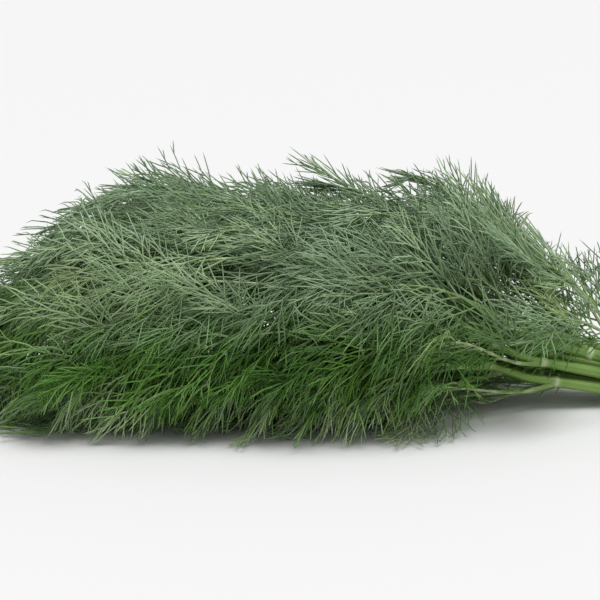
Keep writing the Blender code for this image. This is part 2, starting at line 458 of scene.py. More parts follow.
@dataclass(frozen=True)
class StemPlace:
    """Where a stem lies.

    Attributes:
        place: Its place in its row, counted from the middle.
        row: Its row, from the table up.
        angle_deg: Its angle in the mound, from the front over the top.
        reach: How far out in the mound it runs.
    """

    place: float
    row: int
    angle_deg: float
    reach: float


STEM_PLACES = (
    StemPlace(-2, 0, -20, 0.46),
    StemPlace(-1, 0, -52, 0.40),
    StemPlace(0, 0, -90, 0.34),
    StemPlace(1, 0, -128, 0.40),
    StemPlace(2, 0, -160, 0.46),
    StemPlace(-1.5, 1, 16, 0.50),
    StemPlace(-0.5, 1, 62, 0.20),
    StemPlace(0.5, 1, 118, 0.20),
    StemPlace(1.5, 1, 164, 0.50),
    StemPlace(-1, 2, 50, 0.52),
    StemPlace(0, 2, 90, 0.52),
    StemPlace(1, 2, 130, 0.52),
)


Shoot = tuple[list[Vector], list[float], float, float, float]


class StrandMesh:
    """Gathers strands and turns them into one mesh of tubes that end in a point, with a bake map."""

    FIRST_SIDE = (0.13, 0.21, 0.97)  # a way that no strand runs in
    MAP_WIDTH = 0.003  # of one side of a tube on the bake map

    def __init__(self, sides: int) -> None:
        """Starts empty, with the number of sides that each tube gets."""
        self.sides = sides
        self.groups: dict[int, list[Shoot]] = {}

    def add(self, points: list[Vector], radii: list[float], tone: float, low: float, high: float) -> None:
        """Adds a strand that ends in a point: its tone across the bake map, its root and tip up it."""
        self.groups.setdefault(len(points), []).append((points, radii, tone, low, high))

    def build(self, name: str) -> bpy.types.Mesh:
        """Makes the mesh.

        Args:
            name: The mesh's name.

        Returns:
            The mesh, shaded smooth, with its bake map.
        """
        places, corners, maps = [], [], []
        base = 0
        for count in sorted(self.groups):
            group = self.groups[count]
            co, uv = self.rings(group, count)
            tri = self.faces(len(group), count)
            places.append(co)
            corners.append(tri + base)
            maps.append(uv[tri.ravel()])
            base += len(co)
        co = np.concatenate(places)
        tri = np.concatenate(corners)
        mesh = bpy.data.meshes.new(name)
        mesh.vertices.add(len(co))
        mesh.vertices.foreach_set("co", co.astype(np.float32).ravel())
        mesh.loops.add(tri.size)
        mesh.loops.foreach_set("vertex_index", tri.astype(np.int32).ravel())
        mesh.polygons.add(len(tri))
        mesh.polygons.foreach_set("loop_start", np.arange(0, tri.size, 3, dtype=np.int32))
        mesh.update(calc_edges=True)
        layer = mesh.uv_layers.new(name=BAKE_MAP)
        layer.data.foreach_set("uv", np.concatenate(maps).astype(np.float32).ravel())
        mesh.validate()
        mesh.shade_smooth()
        return mesh

    def rings(self, group: list[Shoot], count: int) -> tuple[np.ndarray, np.ndarray]:
        """The vertices of the strands that have the same number of points.

        Args:
            group: The strands.
            count: Their number of points.

        Returns:
            The vertices' places and their places on the bake map.
        """
        lines = np.array([[tuple(p) for p in item[0]] for item in group])
        radii = np.array([item[1] for item in group])
        tone = np.array([item[2] for item in group])
        low = np.array([item[3] for item in group])
        high = np.array([item[4] for item in group])
        ahead = np.empty_like(lines)
        ahead[:, 1:-1] = lines[:, 2:] - lines[:, :-2]
        ahead[:, 0] = lines[:, 1] - lines[:, 0]
        ahead[:, -1] = lines[:, -1] - lines[:, -2]
        ahead /= np.linalg.norm(ahead, axis=2, keepdims=True) + TINY
        side = np.cross(ahead[:, 0], self.FIRST_SIDE)
        side = side[:, None, :] - ahead * np.sum(ahead * side[:, None, :], axis=2, keepdims=True)
        side /= np.linalg.norm(side, axis=2, keepdims=True) + TINY
        up = np.cross(side, ahead)
        turn = 2 * np.pi * np.arange(self.sides) / self.sides
        ring = (
            side[:, :-1, None] * np.cos(turn)[None, None, :, None]
            + up[:, :-1, None] * np.sin(turn)[None, None, :, None]
        )
        ring = lines[:, :-1, None] + ring * radii[:, :-1, None, None]
        flat = np.concatenate([ring.reshape(len(group), -1, 3), lines[:, -1:]], axis=1)
        share = np.linspace(0, 1, count)
        height = low[:, None] + (high - low)[:, None] * share
        offset = np.arange(self.sides) - (self.sides - 1) / 2
        across = tone[:, None] + self.MAP_WIDTH * offset[None, :]
        ring_u = np.repeat(across[:, None, :], count - 1, axis=1).reshape(len(group), -1)
        ring_v = np.repeat(height[:, :-1], self.sides, axis=1)
        u = np.concatenate([ring_u, tone[:, None]], axis=1)
        v = np.concatenate([ring_v, height[:, -1:]], axis=1)
        return flat.reshape(-1, 3), np.stack([u, v], axis=2).reshape(-1, 2)

    def faces(self, number: int, count: int) -> np.ndarray:
        """The triangles of the strands that have the same number of points.

        Args:
            number: The number of strands.
            count: Their number of points.

        Returns:
            The vertices of each triangle.
        """
        sides = self.sides
        one = []
        for ring in range(count - 2):
            for k in range(sides):
                a, b = ring * sides + k, ring * sides + (k + 1) % sides
                one += [(a, b, b + sides), (a, b + sides, a + sides)]
        last = (count - 2) * sides
        tip = (count - 1) * sides
        one += [(last + k, last + (k + 1) % sides, tip) for k in range(sides)]
        step = tip + 1
        return (np.array(one)[None] + (np.arange(number) * step)[:, None, None]).reshape(-1, 3)


@dataclass(frozen=True)
class Frond:
    """How a leaf divides into side ribs.

    Attributes:
        pairs: The places of the pairs of side ribs along the rib.
        core_pairs: The same on an inner leaf.
        first_pair: The place of one more pair on the far leaves towards the cut ends.
        first_pair_x: The leaves that leave the stalk beyond this have it.
        last_pair: The place of one more pair on the leaves at the leafy end.
        last_pair_x: The leaves that end beyond this have it.
        shoots: The places of the pairs of side ribs on the leafy stretch of the stalk.
        shoots_mm: Where that stretch starts and ends along the bunch.
        far_shoots_mm: The same on a stalk at the top or the back.
        shoot_steps: The straight stretches that it is divided into.
        rib_steps: The same of a leaf's rib.
        stagger: Between the two ribs of a pair.
        reach: The longest side rib, as a share of the leaf.
        least: What is added to every side rib.
        spread: The least and the most of that length, as shares.
        taper_share: The share of the rib, from its tip, over which side ribs get shorter.
        taper_power: How sharply they do.
        root_share: How full the side ribs are at the rib's root, before smoothing.
        root_gain: How fast that grows along the rib.
        open_deg: The angle at which a side rib leaves the rib near its root.
        close_deg: How much less it is at the rib's tip.
        open_spread: How far it varies, in radians.
        bend: How much a side rib bends to the rib's direction.
        steps: The straight stretches of a side rib.
        radius: Its radius at its root.
        taper: The share of the radius that is lost towards its tip.
        band: Where it lies between its shade's root and tip on the bake map.
        tip_turns: How far the shoots at the rib's tip turn aside.
        tip_places: Their points, as shares of the least length.
        tip_room: The least room that they have.
        tip_size: Their thickness, as a share.
    """

    pairs: tuple[float, ...] = (0.21, 0.33, 0.45, 0.57, 0.68, 0.79, 0.89)
    core_pairs: tuple[float, ...] = (0.14, 0.24, 0.34, 0.44, 0.54, 0.64, 0.74, 0.83, 0.91)
    first_pair: float = 0.11
    first_pair_x: float = 44 * MM
    last_pair: float = 0.95
    last_pair_x: float = -100 * MM
    shoots: tuple[float, ...] = (0.02, 0.13, 0.24, 0.36, 0.48, 0.62, 0.78)
    shoots_mm: tuple[float, float] = (58, -6)
    far_shoots_mm: tuple[float, float] = (108, -6)
    shoot_steps: int = 12
    rib_steps: int = 14
    stagger: float = 0.02
    reach: float = 0.40
    least: float = 10 * MM
    spread: tuple[float, float] = (0.75, 1.12)
    taper_share: float = 0.66
    taper_power: float = 0.75
    root_share: float = 0.45
    root_gain: float = 2.2
    open_deg: float = 45
    close_deg: float = 14
    open_spread: float = 0.12
    bend: float = 0.4
    steps: int = 6
    radius: float = 0.46 * MM
    taper: float = 0.4
    band: tuple[float, float] = (0.05, 0.38)
    tip_turns: tuple[float, ...] = (-0.55, 0.0, 0.55)
    tip_places: tuple[float, ...] = (0.7, 1.4)
    tip_room: float = 0.62
    tip_size: float = 0.6


@dataclass(frozen=True)
class Lie:
    """How the foliage lies in the bunch: its layers, its rise and its sag.

    Attributes:
        roll: The share of the solid's turn round the rib that the side ribs keep.
        tilt: How far side ribs leave the leaf's plane.
        layers: How far leaves lie over each other, as a share of the mound.
        freedoms: How much further out a side rib may stand, by turns of the dice.
        rise: How much the side ribs stand up on the slope towards the cut ends.
        rise_way: The way that they rise.
        rise_x: From here along the bunch.
        rise_span: Over this length it sets in.
        rise_z: From this height.
        rise_height: Over this height it sets in.
        sag_low: How much gravity bends twigs and threads near the table.
        sag_high: The same at the top of the bunch.
        sag_z: Up to this height it is that of the table.
        sag_height: Over this height it changes.
        sag_spread: The least and the most of it, as shares.
        rib_sag_spread: The same for all that a side rib carries.
        stiff_x: Towards the cut ends from here the foliage gets stiffer.
        stiff_span: Over this length it gets stiff.
        droops: The share of the sag that a side rib gives way to, by turns of the dice.
        stand_chance: How often a side rib at the top turns its fan upright.
        stand_deg: How far it turns it.
        stand_freedom: How much further out it may stand.
        stand_z: From this height.
        stand_height: Over this height it sets in.
        facing_from: From this share of the way that faces up or down.
        facing_span: Over this share it sets in.
        lie_drop: How much further in the other fans at the top lie.
        low_end_x: Beyond this the fans on the underside turn upright too.
        low_end_span: Over this length that sets in.
    """

    roll: float = 0.3
    tilt: float = 0.06
    layers: tuple[float, float] = (-0.16, 0.08)
    freedoms: tuple[float, ...] = (0.0, 0.0, 0.0, 0.1, 0.18, 0.25)
    rise: float = 0.5
    rise_way: tuple[float, float, float] = (0.25, 0, 1)
    rise_x: float = 20 * MM
    rise_span: float = 40 * MM
    rise_z: float = 30 * MM
    rise_height: float = 25 * MM
    sag_low: float = 1.25
    sag_high: float = -0.12
    sag_z: float = 30 * MM
    sag_height: float = 50 * MM
    sag_spread: tuple[float, float] = (0.8, 1.2)
    rib_sag_spread: tuple[float, float] = (0.7, 1.3)
    stiff_x: float = 45 * MM
    stiff_span: float = 30 * MM
    droops: tuple[float, ...] = (0.15, 0.5, 1.0, 1.3)
    stand_chance: float = 0.6
    stand_deg: tuple[float, float] = (50, 90)
    stand_freedom: float = 0.03
    stand_z: float = 46 * MM
    stand_height: float = 20 * MM
    facing_from: float = 0.55
    facing_span: float = 0.3
    lie_drop: float = 0.14
    low_end_x: float = -76 * MM
    low_end_span: float = 15 * MM


@dataclass(frozen=True)
class Thinning:
    """Where side ribs are missing: low down near the cut ends, and high up towards the leaf tips.

    Attributes:
        bare_x: Towards the cut ends from here the low side ribs get rare.
        bare_span: Over this length they end.
        bare_z: Only below this height.
        bare_height: Over this height they come back.
        bare_y: Only in front of this.
        bare_depth: Over this depth they come back.
        bare_chance: How often a side rib is missing or short there.
        bare_all: How often it is missing, of those.
        bare_length: The share of its length that a short one has.
        sheer_x: Towards the leaf tips from here the high side ribs get rare.
        sheer_span: Over this length that sets in.
        sheer_z: Only above this height.
        sheer_height: Over this height it sets in.
        sheer_chance: How often a side rib is missing there.
    """

    bare_x: float = 50 * MM
    bare_span: float = 26 * MM
    bare_z: float = 42 * MM
    bare_height: float = 12 * MM
    bare_y: float = 6 * MM
    bare_depth: float = 8 * MM
    bare_chance: float = 0.86
    bare_all: float = 0.5
    bare_length: float = 0.40
    sheer_x: float = -20 * MM
    sheer_span: float = 22 * MM
    sheer_z: float = 44 * MM
    sheer_height: float = 14 * MM
    sheer_chance: float = 0.55


@dataclass(frozen=True)
class Twigs:
    """The twigs on a side rib.

    Attributes:
        bare_share: The share of a side rib, from its root, that carries nothing.
        gap: Between pairs of twigs.
        least_pairs: The fewest pairs.
        first: The place of a pair in its own stretch, at the least.
        jitter: How much further along it may be.
        stagger: Between the two twigs of a pair.
        open_deg: The angle at which a twig leaves its side rib.
        open_spread_deg: How far it varies.
        close_deg: How much less it is at the side rib's tip.
        tilt: How far twigs and threads leave the fan's plane.
        length: The longest twig.
        taper: The share of it that is lost towards the side rib's tip.
        spread: The least and the most of it, as shares.
        least_share: The share that a twig has on the shortest side rib.
        full_length: Over this length of the side rib the rest is added.
        room_power: How sharply twigs and threads follow the room that they have.
        last_share: The length of the side rib's last twig, as a share.
        last_place: Where it leaves the side rib's last stretch.
        bends: How far each stretch of a twig is bent.
        ahead: How much it bends to the side rib's direction.
        radius: A twig's radius at its root.
        radii: The radius at each point, as shares of it.
        loose: How much further out a twig stays free, as a share of the mound.
        band: Where it lies between its shade's root and tip on the bake map.
    """

    bare_share: float = 0.20
    gap: float = 8.2 * MM
    least_pairs: int = 2
    first: float = 0.25
    jitter: float = 0.3
    stagger: float = 0.01
    open_deg: float = 38
    open_spread_deg: float = 5
    close_deg: float = 16
    tilt: float = 0.08
    length: float = 20 * MM
    taper: float = 0.45
    spread: tuple[float, float] = (0.85, 1.12)
    least_share: float = 0.45
    full_length: float = 50 * MM
    room_power: float = 0.8
    last_share: float = 0.6
    last_place: float = 0.8
    bends: tuple[float, ...] = (0.0, 0.3, 0.65, 1.0)
    ahead: float = 0.5
    radius: float = 0.33 * MM
    radii: tuple[float, ...] = (1.0, 0.97, 0.92, 0.85, 0.0)
    loose: float = 0.10
    band: tuple[float, float] = (0.3, 0.85)


@dataclass(frozen=True)
class Threads:
    """The threads on a twig.

    Attributes:
        gap: Between threads.
        counts: The fewest and the most on a twig.
        first: Where on the twig they start.
        stretch: The share of the twig that carries them.
        jitter: The least and the most place of a thread in its own stretch.
        open_deg: The angle at which a thread leaves its twig.
        open_spread_deg: How far it varies.
        length: The longest thread.
        spread: The least and the most of it, as shares.
        root_share: The share that a thread has at the twig's root.
        taper: The share of it that is lost towards the twig's tip.
        ahead: How much a thread bends to the twig's direction.
        droop: The share of the twig's sag that it takes on.
        bends: How far each stretch is bent, and the share of the length that it has.
        radius: A thread's radius.
        radii: The radius at each point, as shares of it.
        loose: How much further out a thread stays free, as a share of the mound.
        band: Where it lies between its shade's root and tip on the bake map.
    """

    gap: float = 3.9 * MM
    counts: tuple[int, int] = (2, 5)
    first: float = 0.12
    stretch: float = 0.78
    jitter: tuple[float, float] = (0.2, 0.6)
    open_deg: float = 21
    open_spread_deg: float = 6
    length: float = 14 * MM
    spread: tuple[float, float] = (0.75, 1.1)
    root_share: float = 1.1
    taper: float = 0.5
    ahead: float = 0.25
    droop: float = 0.6
    bends: tuple[tuple[float, float], ...] = ((0.1, 0.38), (0.55, 0.42), (0.9, 0.20))
    radius: float = 0.275 * MM
    radii: tuple[float, ...] = (1.0, 0.95, 0.72, 0.0)
    loose: float = 0.28
    band: tuple[float, float] = (0.5, 0.95)


@dataclass(frozen=True)
class Prongs:
    """The prongs of forked threads.

    Attributes:
        from_length: Only a longer thread forks.
        chance: How often it does.
        places: Where it forks, at the least and the most.
        opens: How far the prong turns aside, at the least and the most.
        length: The longest prong.
        spread: The least and the most of it, as shares.
        parts: The shares of its two stretches.
        bend: How much of the thread's bend the second one takes on.
        radii: The radius at each point, as shares of the thread's.
        band: Where it lies between its shade's root and tip on the bake map.
    """

    from_length: float = 7 * MM
    chance: float = 0.25
    places: tuple[float, float] = (0.35, 0.55)
    opens: tuple[float, float] = (0.3, 0.45)
    length: float = 6 * MM
    spread: tuple[float, float] = (0.6, 1.0)
    parts: tuple[float, float] = (0.7, 0.3)
    bend: float = 0.4
    radii: tuple[float, ...] = (0.9, 0.8, 0.0)
    band: tuple[float, float] = (0.7, 0.95)


@dataclass(frozen=True)
class Tones:
    """Where strands lie across the bake map, which gives their colour.

    Attributes:
        odds: How often each shade comes up in the deepest leaf, and how much more in the outermost, so that
            deeper leaves carry more painted shade and outer ones more painted light.
        table: The place across the map of what lies on the table.
        fall: How much lower it is at the top of the bunch.
        full_height: The height of that top.
        rib_spread: How far it varies between side ribs.
        strand_spread: How far it varies between strands.
        limits: The least and the greatest place.
    """

    odds: tuple[tuple[float, float], ...] = ((8, -7), (5, 0), (0.5, 6), (0.4, 1))
    table: float = 0.93
    fall: float = 0.80
    full_height: float = 85 * MM
    rib_spread: float = 0.05
    strand_spread: float = 0.03
    limits: tuple[float, float] = (0.015, 0.985)


FROND = Frond()
LIE = Lie()
THINNING = Thinning()
TWIG = Twigs()
THREAD = Threads()
PRONG = Prongs()
TONES = Tones()


class Shade(Enum):
    """The look of a side rib and what it carries, each with its own band up the bake map."""

    # darker: partly a tone that differs at random, partly painted shade, as deeper leaves draw it more often
    DEEP = 0
    PLAIN = 1
    # lighter: partly a tone that differs at random, partly painted light, as outer leaves draw it more often
    LIGHT = 2
    YOUNG = 3

    def band(self, share: float) -> float:
        """The place up the bake map at a share of the way from root to tip."""
        return (self.value + share) / len(Shade)


class Leaf:
    """A feathery leaf: its rib as in the solid, drawn finer, and the foliage on it."""

    def __init__(self, stem: "Stem", start_x: float, end_x: float, angle: float, share: float) -> None:
        """Lays the rib.

        Args:
            stem: The stem that carries the leaf.
            start_x: Where it leaves the stalk.
            end_x: Where its rib ends along the bunch.
            angle: Its angle in the mound.
            share: How far out it ends.
        """
        start = stem.on_line(start_x)
        end = MOUND.point(end_x, angle, share)
        span = (end - start).length
        out = MOUND.outward(start.lerp(end, LEAF.out_place))
        pull = LEAF.pull_high if math.sin(angle) > 0 else LEAF.pull_low
        back = Vector((-LEAF.back, 0, 0))
        leave = (back + MOUND.outward(MOUND.point(start_x, angle, LEAF.pull_share)) * pull).normalized()
        droop = Vector((0, 0, -LEAF.droop if end.z > LEAF.droop_z else 0.0))
        arrive = ((end - start).normalized() * LEAF.ahead + back + out * LEAF.out + droop).normalized()
        self.handles = (start, start + leave * span * HANDLE, end - arrive * span * HANDLE, end)
        self.line = self.curve(LEAF.steps)
        self.length = line_length(self.line)
        self.draw = random.Random(STALK_SEED * 1000 + round(angle * 1e4) + round(end_x * 1e6))
        self.roll = math.radians(self.draw.uniform(-LEAF.roll_deg, LEAF.roll_deg))
        self.layer = self.draw.uniform(*LIE.layers)
        self.core = stem.core
        self.far = stem.far
        self.shade = Shade.PLAIN
        self.tone_shift = 0.0
        self.freedom = 0.0
        self.droop = 1.0
        self.room = 1.0
        self.sag = 0.0
        radii = [lerp(LEAF.rib_radius, LEAF.rib_tip_radius, i / LEAF.steps) for i in range(LEAF.steps)]
        self.rib = Strand(self.line, radii + [0.0], stem.stalk)

    def curve(self, steps: int) -> list[Vector]:
        """The rib's middle line in a number of stretches."""
        curve = bezier(*self.handles, steps)
        return [curve[0]] + [on_table(p, LEAF.rib_radius) for p in curve[1:]]

    def grow(self, mesh: StrandMesh) -> None:
        """Adds the leaf's foliage to a mesh.

        Args:
            mesh: The mesh of the stem's foliage.
        """
        fine = self.curve(FROND.rib_steps)
        self.grow_pairs(mesh, fine, FROND.core_pairs if self.core else FROND.pairs)
        if self.far and fine[0].x > FROND.first_pair_x:
            self.grow_pairs(mesh, fine, (FROND.first_pair,))
        if fine[-1].x < FROND.last_pair_x:
            self.grow_pairs(mesh, fine, (FROND.last_pair,))
        tip, ahead = along(fine, 1.0)
        normal = MOUND.outward(tip)
        across = ahead.cross(normal)
        self.turn_page()
        self.room = max(FROND.tip_room, MOUND.room(tip))
        reach = FROND.least * self.room
        for turn in FROND.tip_turns:
            way = (ahead + across * turn).normalized()
            ends = [self.settle(tip + way * reach * i, FROND.radius, TWIG.loose) for i in FROND.tip_places]
            self.grow_twigs(mesh, [tip] + ends, normal, FROND.tip_size)

    def grow_pairs(self, mesh: StrandMesh, fine: list[Vector], pairs: tuple[float, ...]) -> None:
        """Adds pairs of side ribs to a mesh.

        Args:
            mesh: The mesh of the stem's foliage.
            fine: The rib or stalk that carries them.
            pairs: Their places along it.
        """
        for t in pairs:
            for side in (1, -1):
                self.grow_side_rib(mesh, fine, t + side * FROND.stagger / 2, side)

    def turn_page(self) -> None:
        """Draws the look of the next side rib; the leaves that lie deeper are darker."""
        low, high = LIE.layers
        out = (self.layer - low) / (high - low)
        # painted shade and light: deeper leaves draw the darker shade more often, outer leaves the lighter
        # one
        weights = [deep + more * out for deep, more in TONES.odds]
        self.shade = self.draw.choices(tuple(Shade), weights)[0]
        self.tone_shift = self.draw.gauss(0, TONES.rib_spread)
        self.freedom = self.draw.choice(LIE.freedoms)

    def settle(self, point: Vector, radius: float, loose: float) -> Vector:
        """Keeps a point of the foliage above the table and near the outlines."""
        return MOUND.held(on_table(point, radius), loose + self.layer + self.freedom)

    def is_bare(self, point: Vector) -> bool:
        """Draws whether a side rib is missing or short, low down near the cut ends.

        Args:
            point: Where it leaves the rib.

        Returns:
            True if it is.
        """
        near = smooth_step((point.x - THINNING.bare_x) / THINNING.bare_span)
        low = 1 - smooth_step((point.z - THINNING.bare_z + THINNING.bare_height) / THINNING.bare_height)
        front = smooth_step((THINNING.bare_y - point.y) / THINNING.bare_depth)
        return self.draw.random() < THINNING.bare_chance * near * low * front

    def is_sheer(self, point: Vector) -> bool:
        """Draws whether a side rib is missing, high up towards the leaf tips.

        Args:
            point: Where it leaves the rib.

        Returns:
            True if it is.
        """
        far = smooth_step((THINNING.sheer_x - point.x) / THINNING.sheer_span)
        high = smooth_step((point.z - THINNING.sheer_z) / THINNING.sheer_height)
        return self.draw.random() < THINNING.sheer_chance * far * high

    def grow_side_rib(self, mesh: StrandMesh, fine: list[Vector], t: float, side: int) -> None:
        """Adds a side rib and what grows on it.

        Args:
            mesh: The mesh to add to.
            fine: The leaf's rib.
            t: The place along the rib.
            side: 1 or -1.
        """
        draw = self.draw
        point, ahead = along(fine, t)
        way, normal = self.leave_rib(point, ahead, t, side)
        free = min(1.0, (1 - t) / FROND.taper_share)
        full = FROND.reach * self.length * free**FROND.taper_power + FROND.least
        length = full * draw.uniform(*FROND.spread)
        self.room = MOUND.room(point)
        if self.is_sheer(point):
            return
        if self.is_bare(point):
            if draw.random() < THINNING.bare_all:
                return
            self.room *= THINNING.bare_length
        length *= smooth_step(FROND.root_share + t * FROND.root_gain) * self.room
        self.droop = draw.choice(LIE.droops)
        sag = self.sag_at(point) * draw.uniform(*LIE.sag_spread)
        bent = (way + ahead * FROND.bend + Vector((0, 0, -sag))).normalized()
        end = point + way * length * 0.5 + bent * length * 0.5
        self.turn_page()
        normal = self.turn_fan(point, way, normal)
        line = bezier(point, point + way * length * HANDLE, end - bent * length * HANDLE, end, FROND.steps)
        line = [line[0]] + [self.settle(p, FROND.radius, 0.0) for p in line[1:]]
        self.grow_twigs(mesh, line, normal, 1.0)

    def leave_rib(self, point: Vector, ahead: Vector, t: float, side: int) -> tuple[Vector, Vector]:
        """Draws the way that a side rib leaves the rib.

        Args:
            point: Where it leaves.
            ahead: The rib's direction there.
            t: The place along the rib.
            side: 1 or -1.

        Returns:
            The way that it leaves, and the way that its fan faces.
        """
        draw = self.draw
        normal = MOUND.outward(point)
        normal = (normal - ahead * normal.dot(ahead)).normalized()
        across = ahead.cross(normal)
        roll = self.roll * LIE.roll
        turned = across * math.cos(roll) + normal * math.sin(roll)
        normal = normal * math.cos(roll) - across * math.sin(roll)
        open_angle = math.radians(FROND.open_deg - FROND.close_deg * t)
        open_angle += draw.uniform(-FROND.open_spread, FROND.open_spread)
        way = ahead * math.cos(open_angle) + turned * (side * math.sin(open_angle))
        way = (way + normal * draw.uniform(-LIE.tilt, LIE.tilt)).normalized()
        slope = smooth_step((point.x - LIE.rise_x) / LIE.rise_span)
        slope *= smooth_step((point.z - LIE.rise_z) / LIE.rise_height)
        way = (way + Vector(LIE.rise_way) * (LIE.rise * slope * draw.random())).normalized()
        return way, normal

    def turn_fan(self, point: Vector, way: Vector, normal: Vector) -> Vector:
        """Turns a fan upright at times, at the top or under the leafy end; at the top the others lie lower.

        Args:
            point: Where its side rib leaves the rib.
            way: The way that the side rib leaves.
            normal: The way that the fan faces.

        Returns:
            The way that it faces then.
        """
        draw = self.draw
        facing = MOUND.outward(point).z
        high = smooth_step((point.z - LIE.stand_z) / LIE.stand_height)
        high *= smooth_step((facing - LIE.facing_from) / LIE.facing_span)
        low = smooth_step((LIE.low_end_x - point.x) / LIE.low_end_span)
        low *= smooth_step((-facing - LIE.facing_from) / LIE.facing_span)
        if draw.random() < LIE.stand_chance * high + low:
            turn = math.radians(draw.uniform(*LIE.stand_deg)) * draw.choice((1, -1))
            self.freedom += LIE.stand_freedom
            return Matrix.Rotation(turn, 3, way) @ normal
        self.freedom -= LIE.lie_drop * high
        return normal

    def sag_at(self, point: Vector) -> float:
        """How much gravity bends what grows at a point."""
        sag = lerp(LIE.sag_low, LIE.sag_high, smooth_step((point.z - LIE.sag_z) / LIE.sag_height))
        return sag * self.droop * (1 - smooth_step((point.x - LIE.stiff_x) / LIE.stiff_span))

    def grow_twigs(self, mesh: StrandMesh, line: list[Vector], normal: Vector, size: float) -> None:
        """Adds a side rib's tube, its twigs and their threads.

        Args:
            mesh: The mesh to add to.
            line: The side rib's middle line.
            normal: The way that its fan faces.
            size: The share of the full thickness.
        """
        draw = self.draw
        length = line_length(line)
        count = len(line) - 1
        radii = [FROND.radius * size * (1 - FROND.taper * i / count) for i in range(count)] + [0.0]
        self.add(mesh, line, radii, line[-1], FROND.band)
        self.sag = self.sag_at(line[count // 2]) * draw.uniform(*LIE.rib_sag_spread)
        free = 1 - TWIG.bare_share * size
        pairs = max(TWIG.least_pairs, round(length * free / TWIG.gap))
        room = self.room**TWIG.room_power
        for i in range(pairs):
            s = 1 - free + free * (i + TWIG.first + TWIG.jitter * draw.random()) / pairs
            for side in (1, -1):
                point, ahead = along(line, s + side * TWIG.stagger)
                across = ahead.cross(normal).normalized()
                swing = draw.uniform(-TWIG.open_spread_deg, TWIG.open_spread_deg)
                turn = math.radians(TWIG.open_deg + swing - TWIG.close_deg * s)
                tilt = draw.uniform(-TWIG.tilt, TWIG.tilt)
                way = ahead * math.cos(turn) + across * (side * math.sin(turn)) + normal * tilt
                long = TWIG.length * (1.0 - TWIG.taper * s) * draw.uniform(*TWIG.spread)
                long *= min(1.0, TWIG.least_share + length / TWIG.full_length) * room
                self.grow_twig(mesh, point, way.normalized(), ahead, normal, long)
        _, ahead = along(line, 1.0)
        root = line[-2].lerp(line[-1], TWIG.last_place)
        self.grow_twig(mesh, root, ahead, ahead, normal, TWIG.length * TWIG.last_share * room)

    def grow_twig(
        self, mesh: StrandMesh, root: Vector, way: Vector, ahead: Vector, normal: Vector, length: float
    ) -> None:
        """Adds a twig and its threads.

        Args:
            mesh: The mesh to add to.
            root: Where it leaves the side rib.
            way: The way that it leaves.
            ahead: The side rib's direction, to which it bends.
            normal: The way that the fan faces.
            length: Its length.
        """
        draw = self.draw
        down = Vector((0, 0, -self.sag * draw.uniform(*LIE.sag_spread)))
        line = [root]
        for share in TWIG.bends:
            step = (way + ahead * (TWIG.ahead * share) + down * share).normalized()
            line.append(self.settle(line[-1] + step * (length / len(TWIG.bends)), TWIG.radius, TWIG.loose))
        self.add(mesh, line, [TWIG.radius * part for part in TWIG.radii], line[-2], TWIG.band)
        fewest, most = THREAD.counts
        count = max(fewest, min(most, round(length / THREAD.gap)))
        room = self.room**TWIG.room_power
        side = draw.choice((1, -1))
        for number in range(count):
            place = THREAD.first + THREAD.stretch * (number + draw.uniform(*THREAD.jitter)) / count
            point, along_twig = along(line, place)
            across = along_twig.cross(normal).normalized()
            side = -side
            swing = draw.uniform(-THREAD.open_spread_deg, THREAD.open_spread_deg)
            turn = math.radians(THREAD.open_deg + swing)
            lean = across * (side * math.sin(turn)) + normal * draw.uniform(-TWIG.tilt, TWIG.tilt)
            start = (along_twig * math.cos(turn) + lean).normalized()
            full = THREAD.length * draw.uniform(*THREAD.spread)
            long = full * (THREAD.root_share - THREAD.taper * place) * room
            bend = along_twig * THREAD.ahead + down * THREAD.droop
            self.grow_thread(mesh, point, start, bend, across * side, long)

    def grow_thread(
        self, mesh: StrandMesh, root: Vector, way: Vector, bend: Vector, across: Vector, length: float
    ) -> None:
        """Adds a thread, and at times its prong.

        Args:
            mesh: The mesh to add to.
            root: Where it leaves the twig.
            way: The way that it leaves.
            bend: The way that it bends to.
            across: The side that a prong points to.
            length: Its length.
        """
        draw = self.draw
        line = [root]
        for share, part in THREAD.bends:
            step = (way + bend * share).normalized()
            line.append(self.settle(line[-1] + step * (length * part), THREAD.radius, THREAD.loose))
        self.add(mesh, line, [THREAD.radius * part for part in THREAD.radii], line[-2], THREAD.band)
        if length > PRONG.from_length and draw.random() < PRONG.chance:
            point, ahead = along(line, draw.uniform(*PRONG.places))
            fork = (ahead + across * draw.uniform(*PRONG.opens)).normalized()
            long = PRONG.length * draw.uniform(*PRONG.spread)
            first, second = PRONG.parts
            middle = self.settle(point + fork * (long * first), THREAD.radius, THREAD.loose)
            onward = (fork + bend * PRONG.bend).normalized()
            end = self.settle(middle + onward * (long * second), THREAD.radius, THREAD.loose)
            radii = [THREAD.radius * part for part in PRONG.radii]
            self.add(mesh, [point, middle, end], radii, end, PRONG.band)

    def add(
        self,
        mesh: StrandMesh,
        line: list[Vector],
        radii: list[float],
        toned: Vector,
        band: tuple[float, float],
    ) -> None:
        """Adds a strand in the tone of its height and the shade of its side rib.

        Args:
            mesh: The mesh to add to.
            line: The strand's middle line.
            radii: Its radius at each point.
            toned: The point whose height gives the tone.
            band: How far its root and its tip are from the leaf's root to the tips, from 0 to 1.
        """
        # the tone follows height: the greens high up, half way and on the table are paler partly as painted
        # haze of light
        height = min(1.0, toned.z / TONES.full_height)
        tone = TONES.table - TONES.fall * height + self.tone_shift
        tone += self.draw.gauss(0, TONES.strand_spread)
        least, most = TONES.limits
        root, tip = (self.shade.band(share) for share in band)
        mesh.add(line, radii, min(most, max(least, tone)), root, tip)


